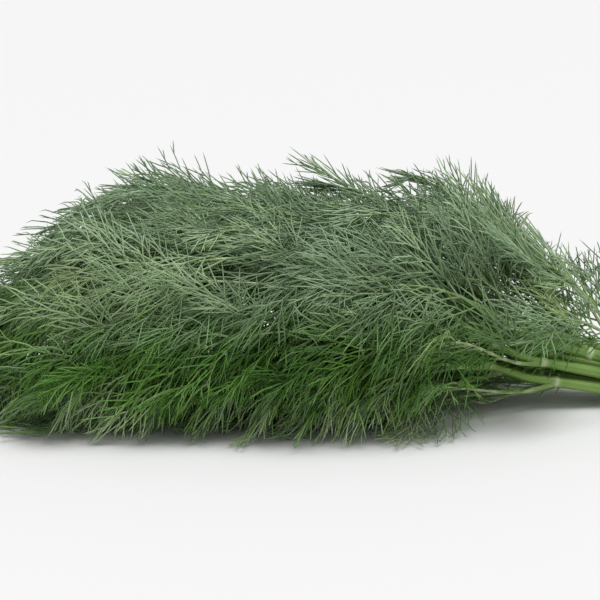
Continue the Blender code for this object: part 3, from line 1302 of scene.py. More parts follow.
class Stem:
    """A leafy stem: its stalk as in the solid, and its leaves."""

    def __init__(self, number: int, where: StemPlace) -> None:
        """Lays the stalk.

        Args:
            number: The stem's number, from 0.
            where: Where it lies.
        """
        self.number = number
        self.name = f"dill_stem_{number + 1:02d}"
        self.angle = math.radians(where.angle_deg)
        self.reach = where.reach
        self.leaves_mm = LEAF.low_mm if math.sin(self.angle) < STALK.top_sine else LEAF.top_mm
        self.core = where.reach < STALK.core_reach
        self.far = math.sin(self.angle) > STALK.top_sine or math.cos(self.angle) < 0
        if self.core:
            self.leaves_mm = LEAF.core_mm
        flat_height = STALK.radius * math.cos(math.pi / STALK.sides)
        heap_z = flat_height + where.row * STALK.heap_row_rise
        self.heap = Vector((0, where.place * STALK.heap_pitch, heap_z))
        self.draw = random.Random(STALK_SEED * 100 + number)
        self.cut_x = STALK.cut_end_x - self.draw.uniform(0, STALK.cut_spread_mm) * MM
        self.tint = random.Random(number).uniform(0, STALK.tint_spread)
        self.line = self.middle_line()
        self.stalk = Strand(self.line, self.radii())
        self.leaves: list[Leaf] = []

    def middle_line(self) -> list[Vector]:
        """Lays the stalk's middle line as in the solid.

        Returns:
            Its points, from its cut end to its tip.
        """
        line = [Vector((self.cut_x, self.heap.y, self.heap.z))]
        for i in range(STALK.steps):
            line.append(self.centre_at(lerp(STALK.flat_until_x, STALK.tip_x, i / (STALK.steps - 1))))
        return line

    def centre_at(self, x: float) -> Vector:
        """Where the stalk's middle lies.

        Args:
            x: The place along the bunch.

        Returns:
            The point.
        """
        free = (STALK.fan_from_x - x) / (STALK.fan_from_x - STALK.tip_x)
        spread = smooth_step(free) if x < STALK.flat_until_x else 0.0
        target = MOUND.point(x, self.angle, self.reach)
        return Vector((x, self.heap.y, self.heap.z)).lerp(target, spread)

    def on_line(self, x: float) -> Vector:
        """Where the stalk's own line of straight stretches lies.

        Args:
            x: The place along the bunch.

        Returns:
            The point.
        """
        for a, b in zip(self.line, self.line[1:]):
            if b.x <= x <= a.x:
                return a.lerp(b, (a.x - x) / (a.x - b.x))
        return self.line[-1].copy()

    def radii(self) -> list[float]:
        """The stalk's radius at each point of its middle line."""
        count = STALK.steps
        return [STALK.radius] + [lerp(STALK.radius, STALK.tip_radius, i / (count - 1)) for i in range(count)]

    def leaf_plan(self) -> Iterator[tuple[float, float, float]]:
        """Plans the leaves.

        Yields:
            Where a leaf starts and ends along the bunch, and its angle in the mound.
        """
        for i, (start, end) in enumerate(self.leaves_mm):
            side = math.radians(LEAF.side_deg) * (1 if i % 2 else -1)
            yield start * MM, end * MM, self.angle + side * (LEAF.core_side if self.core else 1.0)
        yield STALK.tip_x, LEAF.tip_mm * MM, self.angle

    def grow_leaves(self, placed: Placed) -> None:
        """Lays the leaves' ribs with the solids' own draws.

        Args:
            placed: Every stretch that is placed, to which the ribs are added.
        """
        least_reach = LEAF.core_least_reach if self.core else LEAF.least_reach
        for start_x, end_x, angle in self.leaf_plan():
            for attempt in range(LEAF.tries):
                loose = 1 + LEAF.loosening * attempt
                start = start_x
                if start_x > STALK.tip_x:
                    start += self.draw.uniform(-LEAF.start_spread_mm, LEAF.start_spread_mm) * MM
                end = end_x + self.draw.uniform(-LEAF.end_spread_mm, LEAF.end_spread_mm) * MM * loose
                swing = self.draw.uniform(-LEAF.turn_spread_deg, LEAF.turn_spread_deg)
                turned = angle + math.radians(swing * loose)
                share = LEAF.reach * self.draw.uniform(least_reach, 1.0)
                leaf = Leaf(self, start, end, turned, share)
                if is_clear(leaf.rib, placed, LEAF.clearance):
                    self.leaves.append(leaf)
                    placed.extend(leaf.rib.stretches())
                    break

    def foliage(self) -> StrandMesh:
        """Grows the foliage of the stem's leaves and of the leafy stretch of its stalk.

        Returns:
            The strands.
        """
        mesh = StrandMesh(sides=3)
        for leaf in self.leaves:
            leaf.grow(mesh)
        start, end = FROND.far_shoots_mm if self.far else FROND.shoots_mm
        steps = FROND.shoot_steps
        stretch = [self.on_line(lerp(start, end, i / steps) * MM) for i in range(steps + 1)]
        self.leaves[0].grow_pairs(mesh, stretch, FROND.shoots)
        return mesh


@dataclass(frozen=True)
class StalkSkin:
    """How a stalk and the ribs of its leaves are drawn.

    Attributes:
        radius_mm: The radius along the bunch.
        sides: The corners round the stalk.
        ridges: The lengthwise ridges round it.
        ridge_depth: Their depth, as a share of the radius.
        steps: The rings along it.
        pale_from_x: From here to the cut end a stalk gets paler.
        pale_span: Over this length.
        pale_gain: By how much.
        dense: How many points of its line are read for each ring.
        round_steps: How often its line is smoothed at its bends.
        joint_swell: How much thicker it is at a joint.
        joint_length: Half the length of a joint.
        rib_sides: The corners round a leaf's rib.
        rib_steps: The rings along a leaf's rib.
        rib_tip_radius: Its radius at its tip.
        rib_taper: How sharply it gets thinner.
        rib_knot: How much thicker it is where its side ribs leave.
        knot_length: Half the length of such a place.
        rib_pale: How far a rib has the look of a joint.
        knot_pale: How much more where its side ribs leave.
        sheath_length: The length of the sheath where a rib leaves the stalk.
        sheath_swell: How much thicker the rib is there.
        sharp_deg: Edges that bend more than this are sharp.
    """

    radius_mm: Outline = ((-6, 0.7), (62, 1.1), (87, 1.6), (108, 2.05), (205, 2.15))
    sides: int = 16
    ridges: int = 8
    ridge_depth: float = 0.045
    steps: int = 190
    pale_from_x: float = 130 * MM
    pale_span: float = 75 * MM
    pale_gain: float = 0.6
    dense: int = 4
    round_steps: int = 10
    joint_swell: float = 0.2
    joint_length: float = 0.9 * MM
    rib_sides: int = 6
    rib_steps: int = 40
    rib_tip_radius: float = 0.25 * MM
    rib_taper: float = 0.8
    rib_knot: float = 0.22
    knot_length: float = 1.8 * MM
    rib_pale: float = 0.2
    knot_pale: float = 0.5
    sheath_length: float = 7 * MM
    sheath_swell: float = 0.7
    sharp_deg: float = 50


SKIN = StalkSkin()


class StalkMesh:
    """Builds a stem's stalk with the ribs of its leaves, with a bake map that nowhere overlaps."""

    STALK_SHARE = 0.5  # of the bake map's width
    RIB_FILL = 0.94  # of the width of a rib's column
    CUT_BAND = 0.03  # of the bake map's height, for the cut end
    CUT_DEPTH_MM = 0.45  # of the hollow in the middle of the cut end
    # Each ring of the cut end: its size, its share of the way in and its depth in mm.
    CUT_RINGS = ((1.0, 0.0, 0.0), (0.88, 0.28, 0.0), (0.52, 0.62, 0.22))

    def __init__(self, stem: Stem) -> None:
        """Starts with nothing drawn.

        Args:
            stem: The stem.
        """
        self.stem = stem
        self.places: list[np.ndarray] = []
        self.corners: list[tuple[int, ...]] = []
        self.maps: list[tuple[float, float]] = []
        self.marks: list[np.ndarray] = []
        self.base = 0

    def build(self) -> bpy.types.Mesh:
        """Draws the stalk and the ribs.

        Returns:
            Their mesh.
        """
        self.draw_stalk()
        count = len(self.stem.leaves)
        for number, leaf in enumerate(self.stem.leaves):
            width = (1 - self.STALK_SHARE) / count
            self.draw_rib(leaf, self.STALK_SHARE + width * number, width * self.RIB_FILL)
        return self.finish(self.stem.name + "_stalk")

    def draw_stalk(self) -> None:
        """Adds the stalk, with its ridges, its joints and its cut end."""
        stem = self.stem
        joints = [leaf.line[0].x for leaf in stem.leaves[:-1]]
        count = SKIN.steps + 1
        turn = 2 * np.pi * np.arange(SKIN.sides) / SKIN.sides
        ridge = 1 + SKIN.ridge_depth * np.cos(turn * SKIN.ridges)
        smooth = self.smooth_line(count)
        radii, marks = [], []
        for point in smooth:
            close = max((math.exp(-(((point.x - x) / SKIN.joint_length) ** 2)) for x in joints), default=0.0)
            radii.append(read_outline(SKIN.radius_mm, point.x) * (1 + SKIN.joint_swell * close))
            pale = SKIN.pale_gain * smooth_step((point.x - SKIN.pale_from_x) / SKIN.pale_span)
            marks.append((close, min(1.0, stem.tint + pale), 0.0))
        rings = tube_rings(smooth, radii, ridge)
        rings[:, :, 2] = np.maximum(rings[:, :, 2], 0.0)
        self.add_tube(rings, 0.0, self.STALK_SHARE, self.CUT_BAND * 2, 1.0, marks)
        self.add_cut(rings[0])

    def smooth_line(self, count: int) -> list[Vector]:
        """Rounds the stalk's middle line at its bends.

        Args:
            count: The number of points.

        Returns:
            The points, with the same ends.
        """
        line = self.stem.line
        fine = count * SKIN.dense
        dense = [along(line, i / fine)[0] for i in range(fine + 1)]
        lengths = np.cumsum([0.0] + [(b - a).length for a, b in zip(dense, dense[1:])])
        arr = np.array([tuple(p) for p in dense])
        even = np.linspace(0, lengths[-1], count)
        arr = np.stack([np.interp(even, lengths, arr[:, k]) for k in range(3)], axis=1)
        for _ in range(SKIN.round_steps):
            arr[1:-1] = arr[1:-1] * 0.5 + (arr[2:] + arr[:-2]) * 0.25
        return [Vector(p) for p in arr]

    def draw_rib(self, leaf: Leaf, left: float, width: float) -> None:
        """Adds a leaf's rib with its sheath.

        Args:
            leaf: The leaf.
            left: Where its column of the bake map starts.
            width: The column's width.
        """
        line = leaf.curve(SKIN.rib_steps)
        length = line_length(line)
        radii, marks = [], []
        for i in range(len(line)):
            t = i / SKIN.rib_steps
            sheath = 1 + SKIN.sheath_swell * math.exp(-((t * length / SKIN.sheath_length) ** 2))
            close = max(math.exp(-(((t - pair) * length / SKIN.knot_length) ** 2)) for pair in FROND.pairs)
            radius = lerp(LEAF.rib_radius, SKIN.rib_tip_radius, t**SKIN.rib_taper)
            radii.append(radius * (sheath + SKIN.rib_knot * close))
            marks.append((SKIN.rib_pale + SKIN.knot_pale * close, self.stem.tint, 0.0))
        round_ring = np.ones(SKIN.rib_sides)
        self.add_tube(tube_rings(line, radii, round_ring), left, width, 0.0, 1.0, marks)

    def add_tube(
        self, rings: np.ndarray, left: float, width: float, low: float, high: float, marks: list[Triple]
    ) -> None:
        """Adds rings joined by quads.

        Args:
            rings: The rings' places.
            left: Where the column of the bake map starts.
            width: The column's width.
            low: The column's lower end.
            high: Its upper end.
            marks: Each ring's closeness to a joint, its paleness and its share of the way into the cut.
        """
        count, sides, _ = rings.shape
        self.places.append(rings.reshape(-1, 3))
        self.marks.append(np.repeat(np.array(marks), sides, axis=0))
        for i in range(count - 1):
            v0 = low + (high - low) * i / (count - 1)
            v1 = low + (high - low) * (i + 1) / (count - 1)
            for k in range(sides):
                a = self.base + i * sides + k
                b = self.base + i * sides + (k + 1) % sides
                self.corners.append((a, b, b + sides, a + sides))
                u0 = left + width * k / sides
                u1 = left + width * (k + 1) / sides
                self.maps += [(u0, v0), (u1, v0), (u1, v1), (u0, v1)]
        self.base += count * sides

    def add_cut(self, rim: np.ndarray) -> None:
        """Closes the cut end with a slightly hollow face.

        Args:
            rim: The stalk's first ring.
        """
        centre = rim.mean(axis=0)
        sides = len(rim)
        for size, inward, depth in self.CUT_RINGS:
            self.places.append(centre + (rim - centre) * size - np.array((depth * MM, 0, 0)))
            self.marks.append(np.tile((0.0, 0.0, inward), (sides, 1)))
        self.places.append(centre[None] - np.array((self.CUT_DEPTH_MM * MM, 0, 0)))
        self.marks.append(np.array([(0.0, 0.0, 1.0)]))
        heart = self.base + len(self.CUT_RINGS) * sides
        for k in range(sides):
            u0 = self.STALK_SHARE * k / sides
            u1 = self.STALK_SHARE * (k + 1) / sides
            for ring in range(len(self.CUT_RINGS)):
                a, b = self.base + ring * sides + k, self.base + ring * sides + (k + 1) % sides
                v0 = self.CUT_BAND * (1 - ring / len(self.CUT_RINGS))
                v1 = self.CUT_BAND * (1 - (ring + 1) / len(self.CUT_RINGS))
                if ring + 1 < len(self.CUT_RINGS):
                    self.corners.append((b, a, a + sides, b + sides))
                    self.maps += [(u1, v0), (u0, v0), (u0, v1), (u1, v1)]
                else:
                    self.corners.append((b, a, heart))
                    self.maps += [(u1, v0), (u0, v0), ((u0 + u1) / 2, 0.0)]
        self.base = heart + 1

    def finish(self, name: str) -> bpy.types.Mesh:
        """Makes the mesh from what was added.

        Args:
            name: The mesh's name.

        Returns:
            The mesh, with its bake map and its marks.
        """
        mesh = bpy.data.meshes.new(name)
        mesh.from_pydata(np.concatenate(self.places).tolist(), [], self.corners)
        layer = mesh.uv_layers.new(name=BAKE_MAP)
        layer.data.foreach_set("uv", np.array(self.maps, dtype=np.float32).ravel())
        marks = mesh.attributes.new(MARKS, "FLOAT_VECTOR", "POINT")
        marks.data.foreach_set("vector", np.concatenate(self.marks).astype(np.float32).ravel())
        mesh.update()
        mesh.shade_smooth()
        mesh.set_sharp_from_angle(angle=math.radians(SKIN.sharp_deg))
        return mesh


def tube_rings(line: Sequence[Vector], radii: Sequence[float], ring: np.ndarray) -> np.ndarray:
    """Rings along a line.

    Args:
        line: The middle line.
        radii: The radius at each point.
        ring: The share of the radius at each corner of a ring.

    Returns:
        The rings' corners.
    """
    points = np.array([tuple(p) for p in line])
    ahead = np.gradient(points, axis=0)
    ahead /= np.linalg.norm(ahead, axis=1, keepdims=True)
    side = np.cross(ahead[0], (0, 0, 1.0))
    turn = 2 * np.pi * np.arange(len(ring)) / len(ring)
    rings = []
    for point, way, radius in zip(points, ahead, radii):
        side = side - way * side.dot(way)
        side /= np.linalg.norm(side)
        up = np.cross(side, way)
        spokes = side[None] * np.cos(turn)[:, None] + up[None] * np.sin(turn)[:, None]
        rings.append(point + spokes * (radius * ring)[:, None])
    return np.array(rings)


# Finishes


@dataclass(frozen=True)
class Value:
    """A number that varies over a surface; sums, differences and products of it add Math nodes.

    Attributes:
        tree: The material that its nodes belong to.
        socket: The output that gives it.
    """

    tree: "Tree"
    socket: bpy.types.NodeSocket

    def __add__(self, other: "Value | float") -> "Value":
        """The sum."""
        return self.tree.math("ADD", self, other)

    def __radd__(self, other: float) -> "Value":
        """The sum, from the right."""
        return self.tree.math("ADD", other, self)

    def __sub__(self, other: "Value | float") -> "Value":
        """The difference."""
        return self.tree.math("SUBTRACT", self, other)

    def __rsub__(self, other: float) -> "Value":
        """The difference, from the right."""
        return self.tree.math("SUBTRACT", other, self)

    def __mul__(self, other: "Value | float") -> "Value":
        """The product."""
        return self.tree.math("MULTIPLY", self, other)

    def __rmul__(self, other: float) -> "Value":
        """The product, from the right."""
        return self.tree.math("MULTIPLY", other, self)

    def clamped(self) -> "Value":
        """The number, kept from 0 to 1."""
        return self.tree.math("MINIMUM", self.tree.math("MAXIMUM", self, 0.0), 1.0)

    def wave(self, turns: float) -> "Value":
        """A wave from 0 to 1 with a number of turns as the number goes from 0 to 1."""
        return self.tree.math("SINE", self * (2 * math.pi * turns)) * 0.5 + 0.5


Colour = Triple
Stops = Sequence[tuple[float, Colour]]
Link = Value | float | Colour | tuple[float, ...] | bpy.types.NodeSocket


class Tree:
    """A material's nodes."""

    def __init__(self, name: str) -> None:
        """Makes the material with its shader alone.

        Args:
            name: The material's name.
        """
        self.material = bpy.data.materials.new(name)
        self.material.use_nodes = True
        self.nodes = self.material.node_tree.nodes
        self.links = self.material.node_tree.links
        self.shader = self.nodes["Principled BSDF"]

    def node(self, kind: str, settings: dict[str, object], sockets: dict[str | int, Link]) -> bpy.types.Node:
        """Adds a node.

        Args:
            kind: The node's type.
            settings: Its settings; "stops" sets a ramp's stops.
            sockets: The values or links of its inputs.

        Returns:
            The node.
        """
        made = self.nodes.new(kind)
        for key, value in settings.items():
            if key == "stops":
                self.set_stops(made.color_ramp, value)
            else:
                setattr(made, key, value)
        for key, value in sockets.items():
            self.feed(made.inputs[key], value)
        return made

    def set_stops(self, ramp: bpy.types.ColorRamp, stops: Stops) -> None:
        """Sets a ramp's stops.

        Args:
            ramp: The ramp.
            stops: Their places and colours.
        """
        while len(ramp.elements) < len(stops):
            ramp.elements.new(0.5)
        for element, (place, colour) in zip(ramp.elements, stops):
            element.position = place
            element.color = (*colour, 1.0)

    def feed(self, socket: bpy.types.NodeSocket, value: Link) -> None:
        """Links or sets an input.

        Args:
            socket: The input.
            value: What it gets.
        """
        if isinstance(value, Value):
            self.links.new(value.socket, socket)
        elif isinstance(value, bpy.types.NodeSocket):
            self.links.new(value, socket)
        elif isinstance(value, tuple) and socket.type == "RGBA":
            socket.default_value = (*value, 1.0)[:4]
        else:
            socket.default_value = value

    def math(self, operation: str, *terms: Value | float) -> Value:
        """A Math node on numbers."""
        made = self.node("ShaderNodeMath", {"operation": operation}, dict(enumerate(terms)))
        return Value(self, made.outputs[0])

    def place(self) -> tuple[Value, Value]:
        """The place on the bake map.

        Returns:
            The place across it and the place up it.
        """
        uv = self.node("ShaderNodeUVMap", {"uv_map": BAKE_MAP}, {})
        split = self.node("ShaderNodeSeparateXYZ", {}, {0: uv.outputs[0]})
        return Value(self, split.outputs[0]), Value(self, split.outputs[1])

    def noise(self, scale: float, detail: float, across: Value | float, up: Value | float) -> Value:
        """Noise over two numbers.

        Args:
            scale: How fine it is.
            detail: How many finer layers it has.
            across: The first number.
            up: The second number.

        Returns:
            The noise, from 0 to 1.
        """
        where = self.node("ShaderNodeCombineXYZ", {}, {0: across, 1: up})
        sockets = {"Vector": where.outputs[0], "Scale": scale, "Detail": detail}
        made = self.node("ShaderNodeTexNoise", {"noise_dimensions": "2D"}, sockets)
        return Value(self, made.outputs[0])

    def ramp(self, value: Value, stops: Stops, between: str = "LINEAR") -> bpy.types.NodeSocket:
        """A colour that follows a number.

        Args:
            value: The number.
            stops: The colours at some of its values.
            between: How the colour changes between them.

        Returns:
            The colour.
        """
        made = self.node("ShaderNodeValToRGB", {"stops": stops}, {0: value})
        made.color_ramp.interpolation = between
        return made.outputs[0]

    def mix(
        self, share: Value | float, first: Link, second: Link, blend: str = "MIX"
    ) -> bpy.types.NodeSocket:
        """A mix of two colours."""
        settings = {"data_type": "RGBA", "blend_type": blend}
        return self.node("ShaderNodeMix", settings, {0: share, 6: first, 7: second}).outputs[2]

    def finish(self, sockets: dict[str, Link]) -> bpy.types.Material:
        """Feeds the shader.

        Args:
            sockets: The values or links of its inputs.

        Returns:
            The material.
        """
        for key, value in sockets.items():
            self.feed(self.shader.inputs[key], value)
        return self.material


@dataclass(frozen=True)
class FoliageFinish:
    """The greens of the leaves, from high up in the bunch to the table.

    Attributes:
        cool: High up, cooler and paler: partly the leaves' own bluish bloom, partly painted haze of light.
        middle: Half way, paler in part as painted haze of light.
        vivid: Low down.
        floor: On the table, paler as painted haze of light.
        young: On a few yellowish threads.
        root: At the roots of the side ribs.
        places: Where across the bake map the greens from cool to floor come.
        shades: What each shade makes of the green: the darker one is partly painted shade and the lighter one
            partly painted light, as deeper and outer leaves draw them more often.
        streak_scale: How fine the streaks between strands are.
        streak_depth: How strong they are.
        streak_level: The light between them.
        young_scale: How fine the patches of yellowish threads are.
        young_from: The noise from which there are any.
        young_edge: How sharp their edge is.
        young_share: How yellowish they are.
        root_to: The share of the way to the tips up to which there is root colour.
        root_edge: How sharply it ends.
        tip_from: The share of the way from which the tips are younger.
        tip_edge: How sharply they get so.
        tip_share: How much younger they are.
        roughness: Of the leaves.
        roughness_depth: How far it varies.
        specular: How strongly they reflect.
    """

    cool: Colour = (0.350, 0.490, 0.305)
    middle: Colour = (0.270, 0.400, 0.205)
    vivid: Colour = (0.100, 0.250, 0.034)
    floor: Colour = (0.320, 0.430, 0.240)
    young: Colour = (0.230, 0.360, 0.070)
    root: Colour = (0.330, 0.470, 0.220)
    places: tuple[float, ...] = (0.24, 0.50, 0.67, 0.80, 0.92)
    shades: tuple[tuple[Shade, Colour], ...] = (
        (Shade.DEEP, (0.66, 0.72, 0.66)),
        (Shade.PLAIN, (0.94, 0.97, 0.94)),
        (Shade.LIGHT, (1.22, 1.19, 1.12)),
        (Shade.YOUNG, (1.26, 1.16, 0.92)),
    )
    streak_scale: float = 95.0
    streak_depth: float = 1.5
    streak_level: float = 0.95
    young_scale: float = 31.0
    young_from: float = 0.60
    young_edge: float = 5.0
    young_share: float = 0.55
    root_to: float = 0.42
    root_edge: float = 2.2
    tip_from: float = 0.90
    tip_edge: float = 4.0
    tip_share: float = 0.5
    roughness: float = 0.42
    roughness_depth: float = 0.2
    specular: float = 0.4

    def material(self) -> bpy.types.Material:
        """Makes the material; its colour depends on the bake map's place alone.

        Returns:
            The material.
        """
        tree = Tree("dill_foliage")
        tone, up = tree.place()
        share = tree.math("FRACT", up * float(len(Shade)))
        # the greens follow height; high up, half way and on the table they are paler partly as painted haze
        # of light
        greens = (self.cool, self.middle, self.vivid, self.vivid, self.floor)
        green = tree.ramp(tone, list(zip(self.places, greens)))
        streak = tree.noise(self.streak_scale, 1.0, tone, 0.0)
        light = (streak - 0.5) * self.streak_depth + self.streak_level
        grey = tree.node("ShaderNodeCombineColor", {}, {0: light, 1: light, 2: light}).outputs[0]
        shaded = tree.mix(1.0, green, grey, "MULTIPLY")
        # the shades darken deep leaves as painted shade and lighten outer ones as painted light, besides a
        # tone that differs at random
        looks = [(shade.value / len(Shade), colour) for shade, colour in self.shades]
        shaded = tree.mix(1.0, shaded, tree.ramp(up, looks, "CONSTANT"), "MULTIPLY")
        patch = tree.noise(self.young_scale, 0.0, tone, 4.0)  # another stretch of the noise
        young = ((patch - self.young_from) * self.young_edge).clamped()
        fresh = tree.mix(young * self.young_share, shaded, self.young)
        rooted = tree.mix(((self.root_to - share) * self.root_edge).clamped(), fresh, self.root)
        near_tip = ((share - self.tip_from) * self.tip_edge).clamped()
        tipped = tree.mix(near_tip * self.tip_share, rooted, self.young)
        rough = self.roughness + (streak - 0.5) * self.roughness_depth
        return tree.finish({"Base Color": tipped, "Roughness": rough, "Specular IOR Level": self.specular})


@dataclass(frozen=True)
class StalkFinish:
    """The finish of the stalks and the ribs.

    Attributes:
        light: On the ridges.
        deep: Between them.
        base: Towards the cut ends.
        joint: At the joints.
        flesh: On the cut end, inside the skin.
        pith: In its middle.
        roughness: Of the waxy skin.
        roughness_depth: How far it varies along the fibres.
        ridge_bump: The height of the fine ridges in the bump.
        fibre_scale: How fine the fibres are across the bake map and up it.
        patch_scale: The same of the paler and deeper patches.
        mask_shares: How much the stripes, the fibres and the patches lighten the skin.
        mask_drop: What is taken off that.
        bump_shares: How high the stripes and the fibres stand in the bump.
        base_share: How far the cut ends take on their colour.
        base_patch: How uneven that is.
        joint_share: How far the joints take on theirs.
        heart_places: How far into the cut each colour of its face comes.
        bundle_place: How far into the cut the ring of darker dots lies.
        bundle_edge: How sharp the ring is.
        dot_edge: How sharp its dots are.
        bundle_share: How dark those dots are.
        cut_edge: How sharp the edge between skin and flesh is.
        coat: How strong the waxy coat is.
        coat_roughness: How dull it is.
    """

    light: Colour = (0.165, 0.330, 0.045)
    deep: Colour = (0.068, 0.185, 0.017)
    base: Colour = (0.370, 0.550, 0.130)
    joint: Colour = (0.850, 0.930, 0.600)
    flesh: Colour = (0.420, 0.600, 0.220)
    pith: Colour = (0.760, 0.820, 0.600)
    roughness: float = 0.30
    roughness_depth: float = 0.25
    ridge_bump: float = 0.12 * MM
    fibre_scale: tuple[float, float] = (240.0, 7.0)
    patch_scale: tuple[float, float] = (6.0, 9.0)
    mask_shares: Triple = (0.45, 0.75, 0.8)
    mask_drop: float = 0.1
    bump_shares: tuple[float, float] = (0.6, 0.5)
    base_share: float = 0.9
    base_patch: float = 0.6
    joint_share: float = 0.6
    heart_places: tuple[float, ...] = (0.1, 0.25, 0.55, 0.9)
    bundle_place: float = 0.4
    bundle_edge: float = 6.0
    dot_edge: float = 4.0
    bundle_share: float = 0.6
    cut_edge: float = 9.0
    coat: float = 0.25
    coat_roughness: float = 0.2

    def material(self) -> bpy.types.Material:
        """Makes the material, with stripes along the stalk.

        Returns:
            The material.
        """
        tree = Tree("dill_stalk")
        across, up = tree.place()
        marks = tree.node("ShaderNodeAttribute", {"attribute_name": MARKS}, {})
        split = tree.node("ShaderNodeSeparateXYZ", {}, {0: marks.outputs["Vector"]})
        close, pale, inward = (Value(tree, socket) for socket in split.outputs)
        stripe = across.wave(SKIN.ridges / StalkMesh.STALK_SHARE)
        fibre = tree.noise(1.0, 3.0, across * self.fibre_scale[0], up * self.fibre_scale[1])
        patch = tree.noise(1.0, 2.0, across * self.patch_scale[0], up * self.patch_scale[1])
        striped, fibrous, patchy = self.mask_shares
        mask = stripe * striped + fibre * fibrous + (patch - 0.5) * patchy - self.mask_drop
        skin = tree.mix(mask.clamped(), self.deep, self.light)
        near_base = (pale * self.base_share + (patch - 0.5) * self.base_patch).clamped()
        based = tree.mix(near_base, skin, self.base)
        jointed = tree.mix(close * self.joint_share, based, self.joint)
        colours = (self.deep, self.flesh, self.pith, self.joint)
        heart = tree.ramp(inward, list(zip(self.heart_places, colours)))
        off_ring = tree.math("ABSOLUTE", inward - self.bundle_place)
        dots = (stripe * self.dot_edge - (self.dot_edge - 1)).clamped()
        bundle = dots * (1 - off_ring * self.bundle_edge).clamped()
        face = tree.mix(bundle * self.bundle_share, heart, self.deep)
        cut = tree.mix((inward * self.cut_edge).clamped(), jointed, face)
        height = stripe * self.bump_shares[0] + fibre * self.bump_shares[1]
        bump = tree.node("ShaderNodeBump", {}, {"Distance": self.ridge_bump, "Height": height})
        rough = self.roughness + (fibre - 0.5) * self.roughness_depth
        sockets = {"Base Color": cut, "Roughness": rough, "Normal": bump.outputs["Normal"]}
        sockets |= {"Coat Weight": self.coat, "Coat Roughness": self.coat_roughness}
        return tree.finish(sockets)


@dataclass
class Bunch:
    """The whole bunch of leafy stems.

    Attributes:
        foliage_finish: The finish of the leaves.
        stalk_finish: The finish of the stalks and ribs.
        stems: Its stems.
    """

    foliage_finish: FoliageFinish = field(default_factory=FoliageFinish)
    stalk_finish: StalkFinish = field(default_factory=StalkFinish)
    stems: list[Stem] = field(default_factory=list)

    def build(self) -> None:
        """Grows the stems and adds their pieces."""
        self.stems = [Stem(number, where) for number, where in enumerate(STEM_PLACES)]
        placed: Placed = [stretch for stem in self.stems for stretch in stem.stalk.stretches()]
        for stem in self.stems:
            stem.grow_leaves(placed)
        foliage = self.foliage_finish.material()
        skin = self.stalk_finish.material()
        for stem in self.stems:
            self.add_piece(StalkMesh(stem).build(), skin, stem.name)
            self.add_piece(stem.foliage().build(stem.name + "_foliage"), foliage, stem.name)

    def add_piece(self, mesh: bpy.types.Mesh, material: bpy.types.Material, node: str) -> None:
        """Adds a piece that stands for a node.

        Args:
            mesh: The piece's mesh, in the outlines' own place.
            material: Its finish.
            node: The node.
        """
        mesh.transform(Matrix.Translation(-ORIGIN))
        mesh.materials.append(material)
        piece = bpy.data.objects.new(mesh.name, mesh)
        bpy.context.scene.collection.objects.link(piece)
        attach(piece, "root")
        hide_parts(node)
        log.info("%s: %d faces", piece.name, len(mesh.polygons))


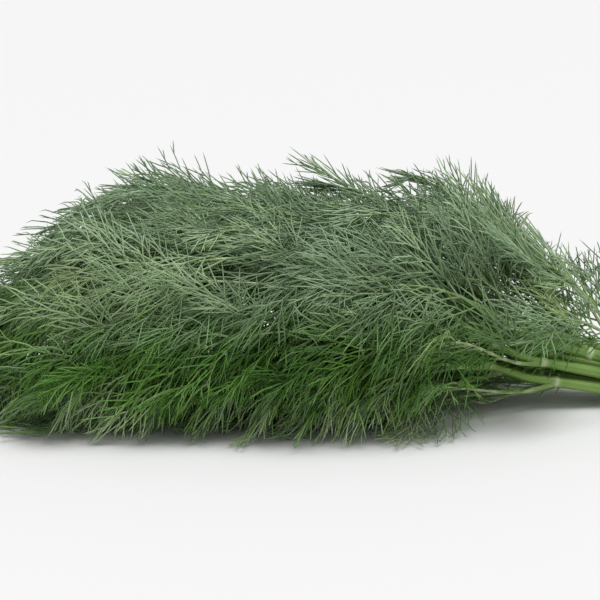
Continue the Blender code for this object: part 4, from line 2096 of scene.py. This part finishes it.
@dataclass(frozen=True)
class Studio:
    """The floor, the light and the camera.

    Attributes:
        photo_width: The real width that the photo spans at the bunch.
        elevation_deg: How far the camera looks down.
        lens: The focal length in millimetres.
        sensor: The sensor's width in millimetres.
        clip_end: How far the camera sees.
        target: What the photo's middle shows.
        floor_colour: The floor's colour.
        floor_roughness: Its roughness.
        floor_reach: How far it reaches to each side.
        sky: The strength of the even light from all round.
        key_way: The way that the key light lies in.
        key_spread_deg: The angle that it spans in the sky.
        key_power: Its strength.
    """

    photo_width: float = 222 * MM
    elevation_deg: float = 12.0
    lens: float = 120.0
    sensor: float = 36.0
    clip_end: float = 50.0
    target: Vector = field(default_factory=lambda: Vector((-37.8 * MM, 0.0, 38.0 * MM)))
    floor_colour: Colour = (0.86, 0.86, 0.86)
    floor_roughness: float = 0.7
    floor_reach: float = 8.0
    sky: float = 0.46
    key_way: Triple = (0.16, -0.04, 1.0)
    key_spread_deg: float = 45
    key_power: float = 2.1

    def build(self) -> None:
        """Makes the whole studio."""
        self.add_floor()
        self.add_sky()
        self.add_lamp("key_light", self.key_way, self.key_spread_deg, self.key_power)
        self.add_camera()
        view = bpy.context.scene.view_settings
        view.view_transform = "Standard"

    def add_floor(self) -> None:
        """Adds the plain pale floor."""
        mesh = bpy.data.meshes.new("floor")
        reach = self.floor_reach
        corners = [(-reach, -reach, 0), (reach, -reach, 0), (reach, reach, 0), (-reach, reach, 0)]
        mesh.from_pydata(corners, [], [(0, 1, 2, 3)])
        tree = Tree("floor")
        sockets = {"Base Color": self.floor_colour, "Roughness": self.floor_roughness}
        mesh.materials.append(tree.finish(sockets))
        floor = bpy.data.objects.new("floor", mesh)
        bpy.context.scene.collection.objects.link(floor)

    def add_sky(self) -> None:
        """Adds the even light."""
        world = bpy.data.worlds.new("studio")
        world.use_nodes = True
        background = world.node_tree.nodes["Background"]
        background.inputs["Color"].default_value = (1.0, 1.0, 1.0, 1.0)
        background.inputs["Strength"].default_value = self.sky
        bpy.context.scene.world = world

    def add_lamp(self, name: str, place: Triple, spread_deg: float, power: float) -> None:
        """Adds a soft far lamp, which lights the whole floor evenly.

        Args:
            name: The lamp's name.
            place: The way that it lies in.
            spread_deg: The angle that it spans in the sky.
            power: Its strength.
        """
        data = bpy.data.lights.new(name, "SUN")
        data.angle = math.radians(spread_deg)
        data.energy = power
        lamp = bpy.data.objects.new(name, data)
        lamp.location = place
        lamp.rotation_euler = Vector(place).to_track_quat("Z", "Y").to_euler()
        bpy.context.scene.collection.objects.link(lamp)

    def add_camera(self) -> None:
        """Adds the camera at the photo's viewing angle."""
        data = bpy.data.cameras.new("camera")
        data.lens = self.lens
        distance = self.photo_width / self.sensor * self.lens
        tilt = math.radians(self.elevation_deg)
        camera = bpy.data.objects.new("camera", data)
        camera.location = self.target + Vector((0, -math.cos(tilt), math.sin(tilt))) * distance
        camera.rotation_euler = (math.pi / 2 - tilt, 0, 0)
        data.clip_end = self.clip_end
        bpy.context.scene.collection.objects.link(camera)
        bpy.context.scene.camera = camera


def main() -> None:
    """Builds the bunch and the studio."""
    logging.basicConfig(level=logging.INFO, format="%(name)s: %(message)s")
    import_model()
    Bunch().build()
    Studio().build()


if __name__ == "__main__":
    main()
